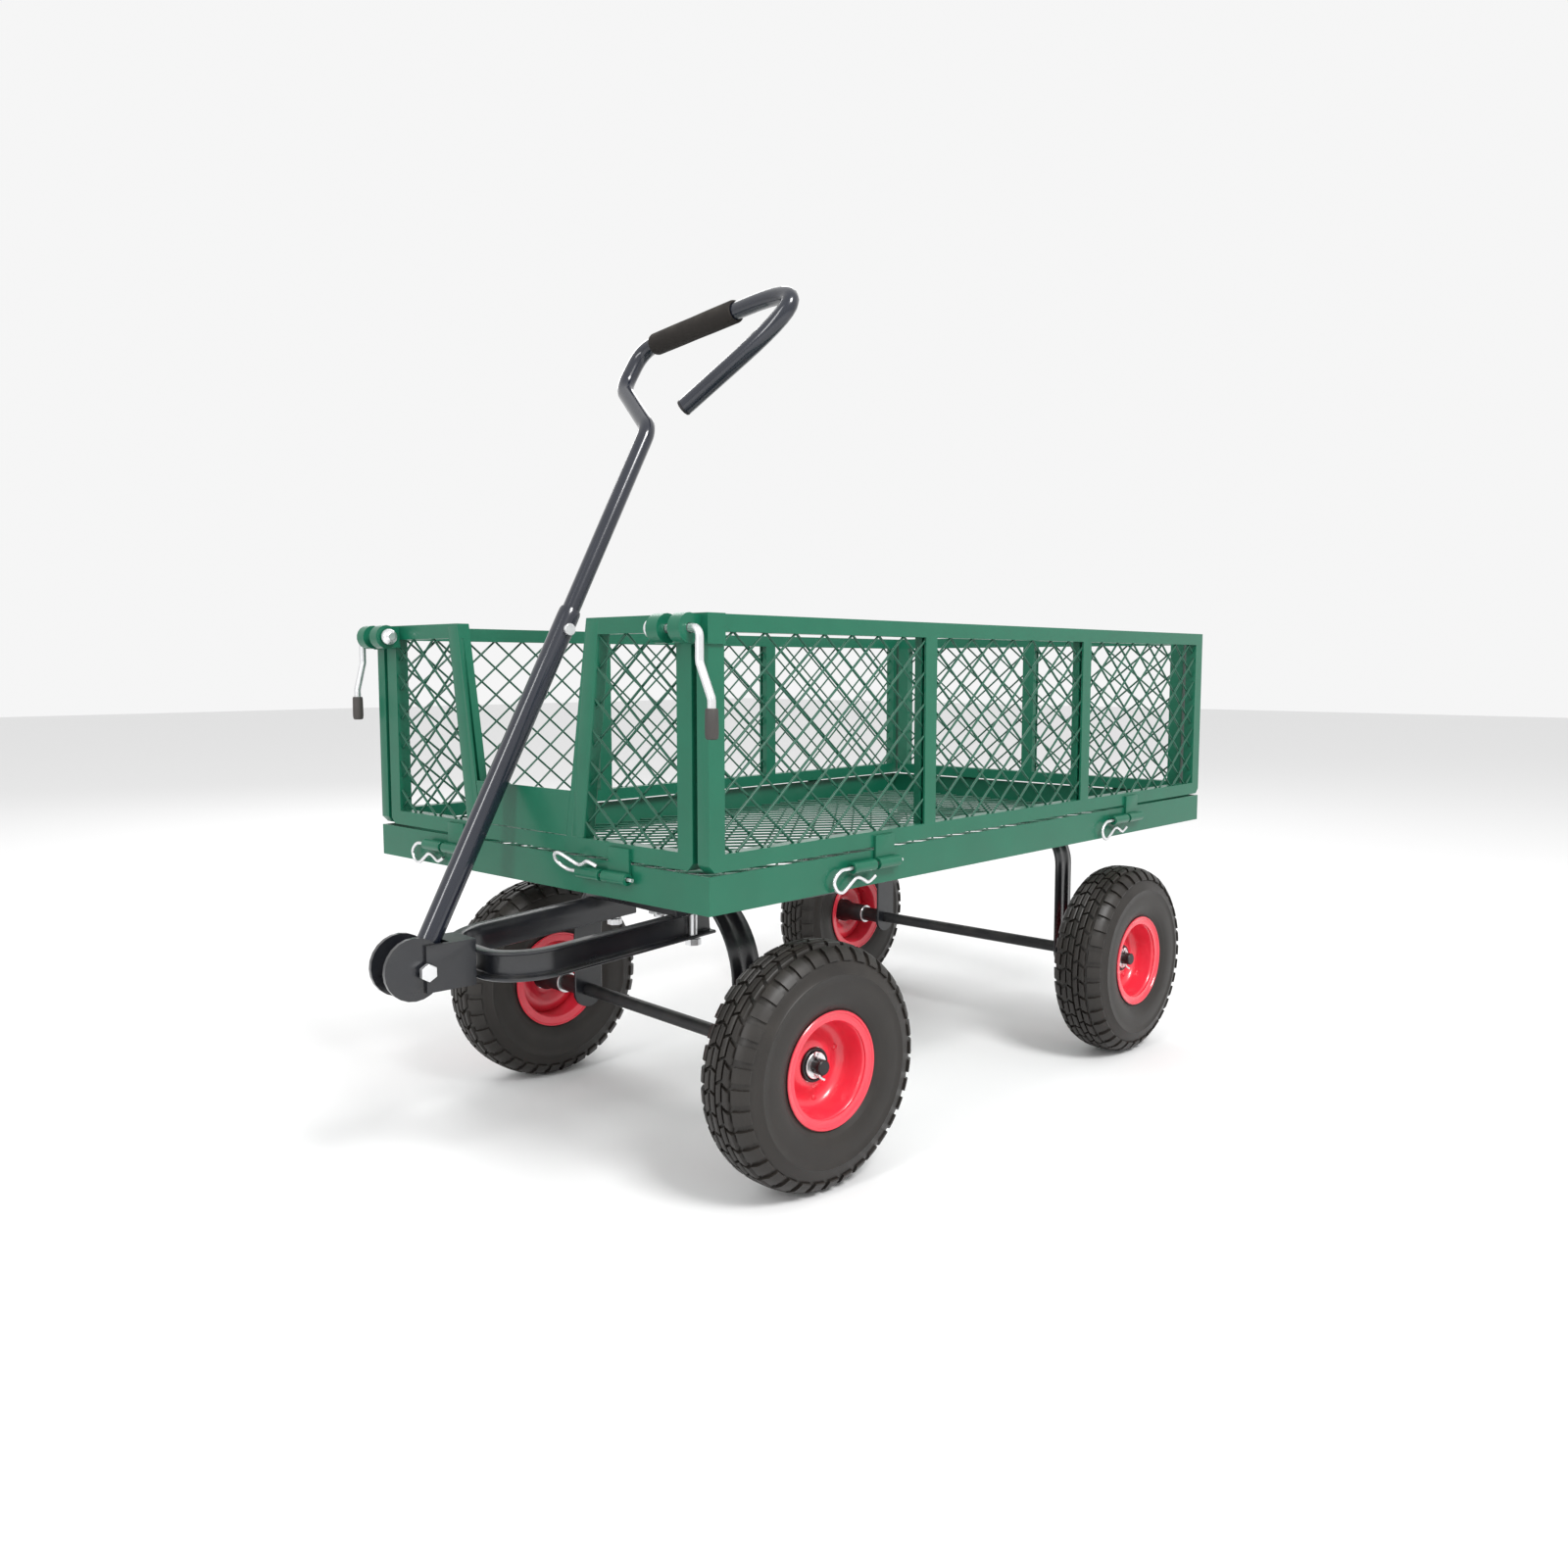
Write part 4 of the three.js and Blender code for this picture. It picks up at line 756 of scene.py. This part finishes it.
def makeClip(side, number):
    along, sign, face = faces[side]
    flip = -1 if number == 1 else 1
    run = 1 if along == "x" else -1
    swing = math.radians(clip["raised"] if (side, number) == ("front", 1) else clip["hangs"])

    def clipPoint(a, drop):
        out = sign * (face + hinge["out"] + drop * mm * math.cos(swing))
        z = hinge["z"] + drop * mm * math.sin(swing)
        if along == "x":
            return Vector((panelMiddle + flip * hinge["sideX"] + run * a * mm, out, z))
        return Vector((panelMiddle + out, flip * hinge["endY"] + run * a * mm, z))

    points = [clipPoint(clip["tip"], 0), clipPoint(0, 0)]
    points += [clipPoint(clip["head"] + a, drop) for a, drop in clip["wave"]]
    wirePiece(f"clip_{side}_{number}", points, clip["wire"], f"r_clip_{side}_{number}", smooth=True)


for side in faces:
    for number in (1, 2):
        makeClip(side, number)
print("clips done")

studio = {"floorHalf": 14, "floorTone": 0.80, "floorRough": 0.9, "skyStrength": 0.92}
lights = {"key": ((-0.6, -2.6, 3.0), (0, 0, 0.3), (1.1, 1.1), 105),  # place, target, size and power
          "side": ((-3.0, -0.4, 1.8), (0, 0, 0.35), (0.5, 1.8), 30),
          "back": ((1.6, 2.6, 2.4), (0, 0, 0.4), (2.2, 1.4), 30)}


def makeStage():
    bm = bmesh.new()
    bmesh.ops.create_grid(bm, x_segments=2, y_segments=2, size=studio["floorHalf"])
    floor = bpy.data.objects.new("floor", meshOf("floor", bm))
    paper = bpy.data.materials.new("paper")
    paper.use_nodes = True
    shader = paper.node_tree.nodes["Principled BSDF"]
    shader.inputs["Base Color"].default_value = (*[studio["floorTone"]] * 3, 1)
    shader.inputs["Roughness"].default_value = studio["floorRough"]
    floor.data.materials.append(paper)
    bpy.context.scene.collection.objects.link(floor)


def makeLight(name, place, target, size, power):
    data = bpy.data.lights.new(name, "AREA")
    data.shape = "RECTANGLE"
    data.size, data.size_y = size
    data.energy = power
    light = bpy.data.objects.new(name, data)
    light.location = place
    light.rotation_euler = (Vector(target) - Vector(place)).to_track_quat("-Z", "Y").to_euler()
    bpy.context.scene.collection.objects.link(light)


makeStage()
for name, values in lights.items():
    makeLight(name, *values)
world = bpy.data.worlds.new("studio")
world.use_nodes = True
world.node_tree.nodes["Background"].inputs["Color"].default_value = (1, 1, 1, 1)
world.node_tree.nodes["Background"].inputs["Strength"].default_value = studio["skyStrength"]
bpy.context.scene.world = world
bpy.context.scene.view_settings.view_transform = "Standard"

view = {"x": -1192.6, "y": -1088.6, "z": 536.2, "yaw": 42.914, "pitch": -5.365, "lens": 28.75,
        "sensor": 36, "nearest": 0.02}
camera = bpy.data.cameras.new("camera")
camera.lens = view["lens"]
camera.sensor_width = view["sensor"]
camera.clip_start = view["nearest"]
eye = bpy.data.objects.new("camera", camera)
yaw, pitch = math.radians(view["yaw"]), math.radians(view["pitch"])
direction = Vector((math.cos(yaw) * math.cos(pitch), math.sin(yaw) * math.cos(pitch), math.sin(pitch)))
eye.location = Vector((view["x"], view["y"], view["z"])) * mm
eye.rotation_euler = direction.to_track_quat("-Z", "Y").to_euler()
bpy.context.scene.collection.objects.link(eye)
bpy.context.scene.camera = eye
print("stage and camera done")
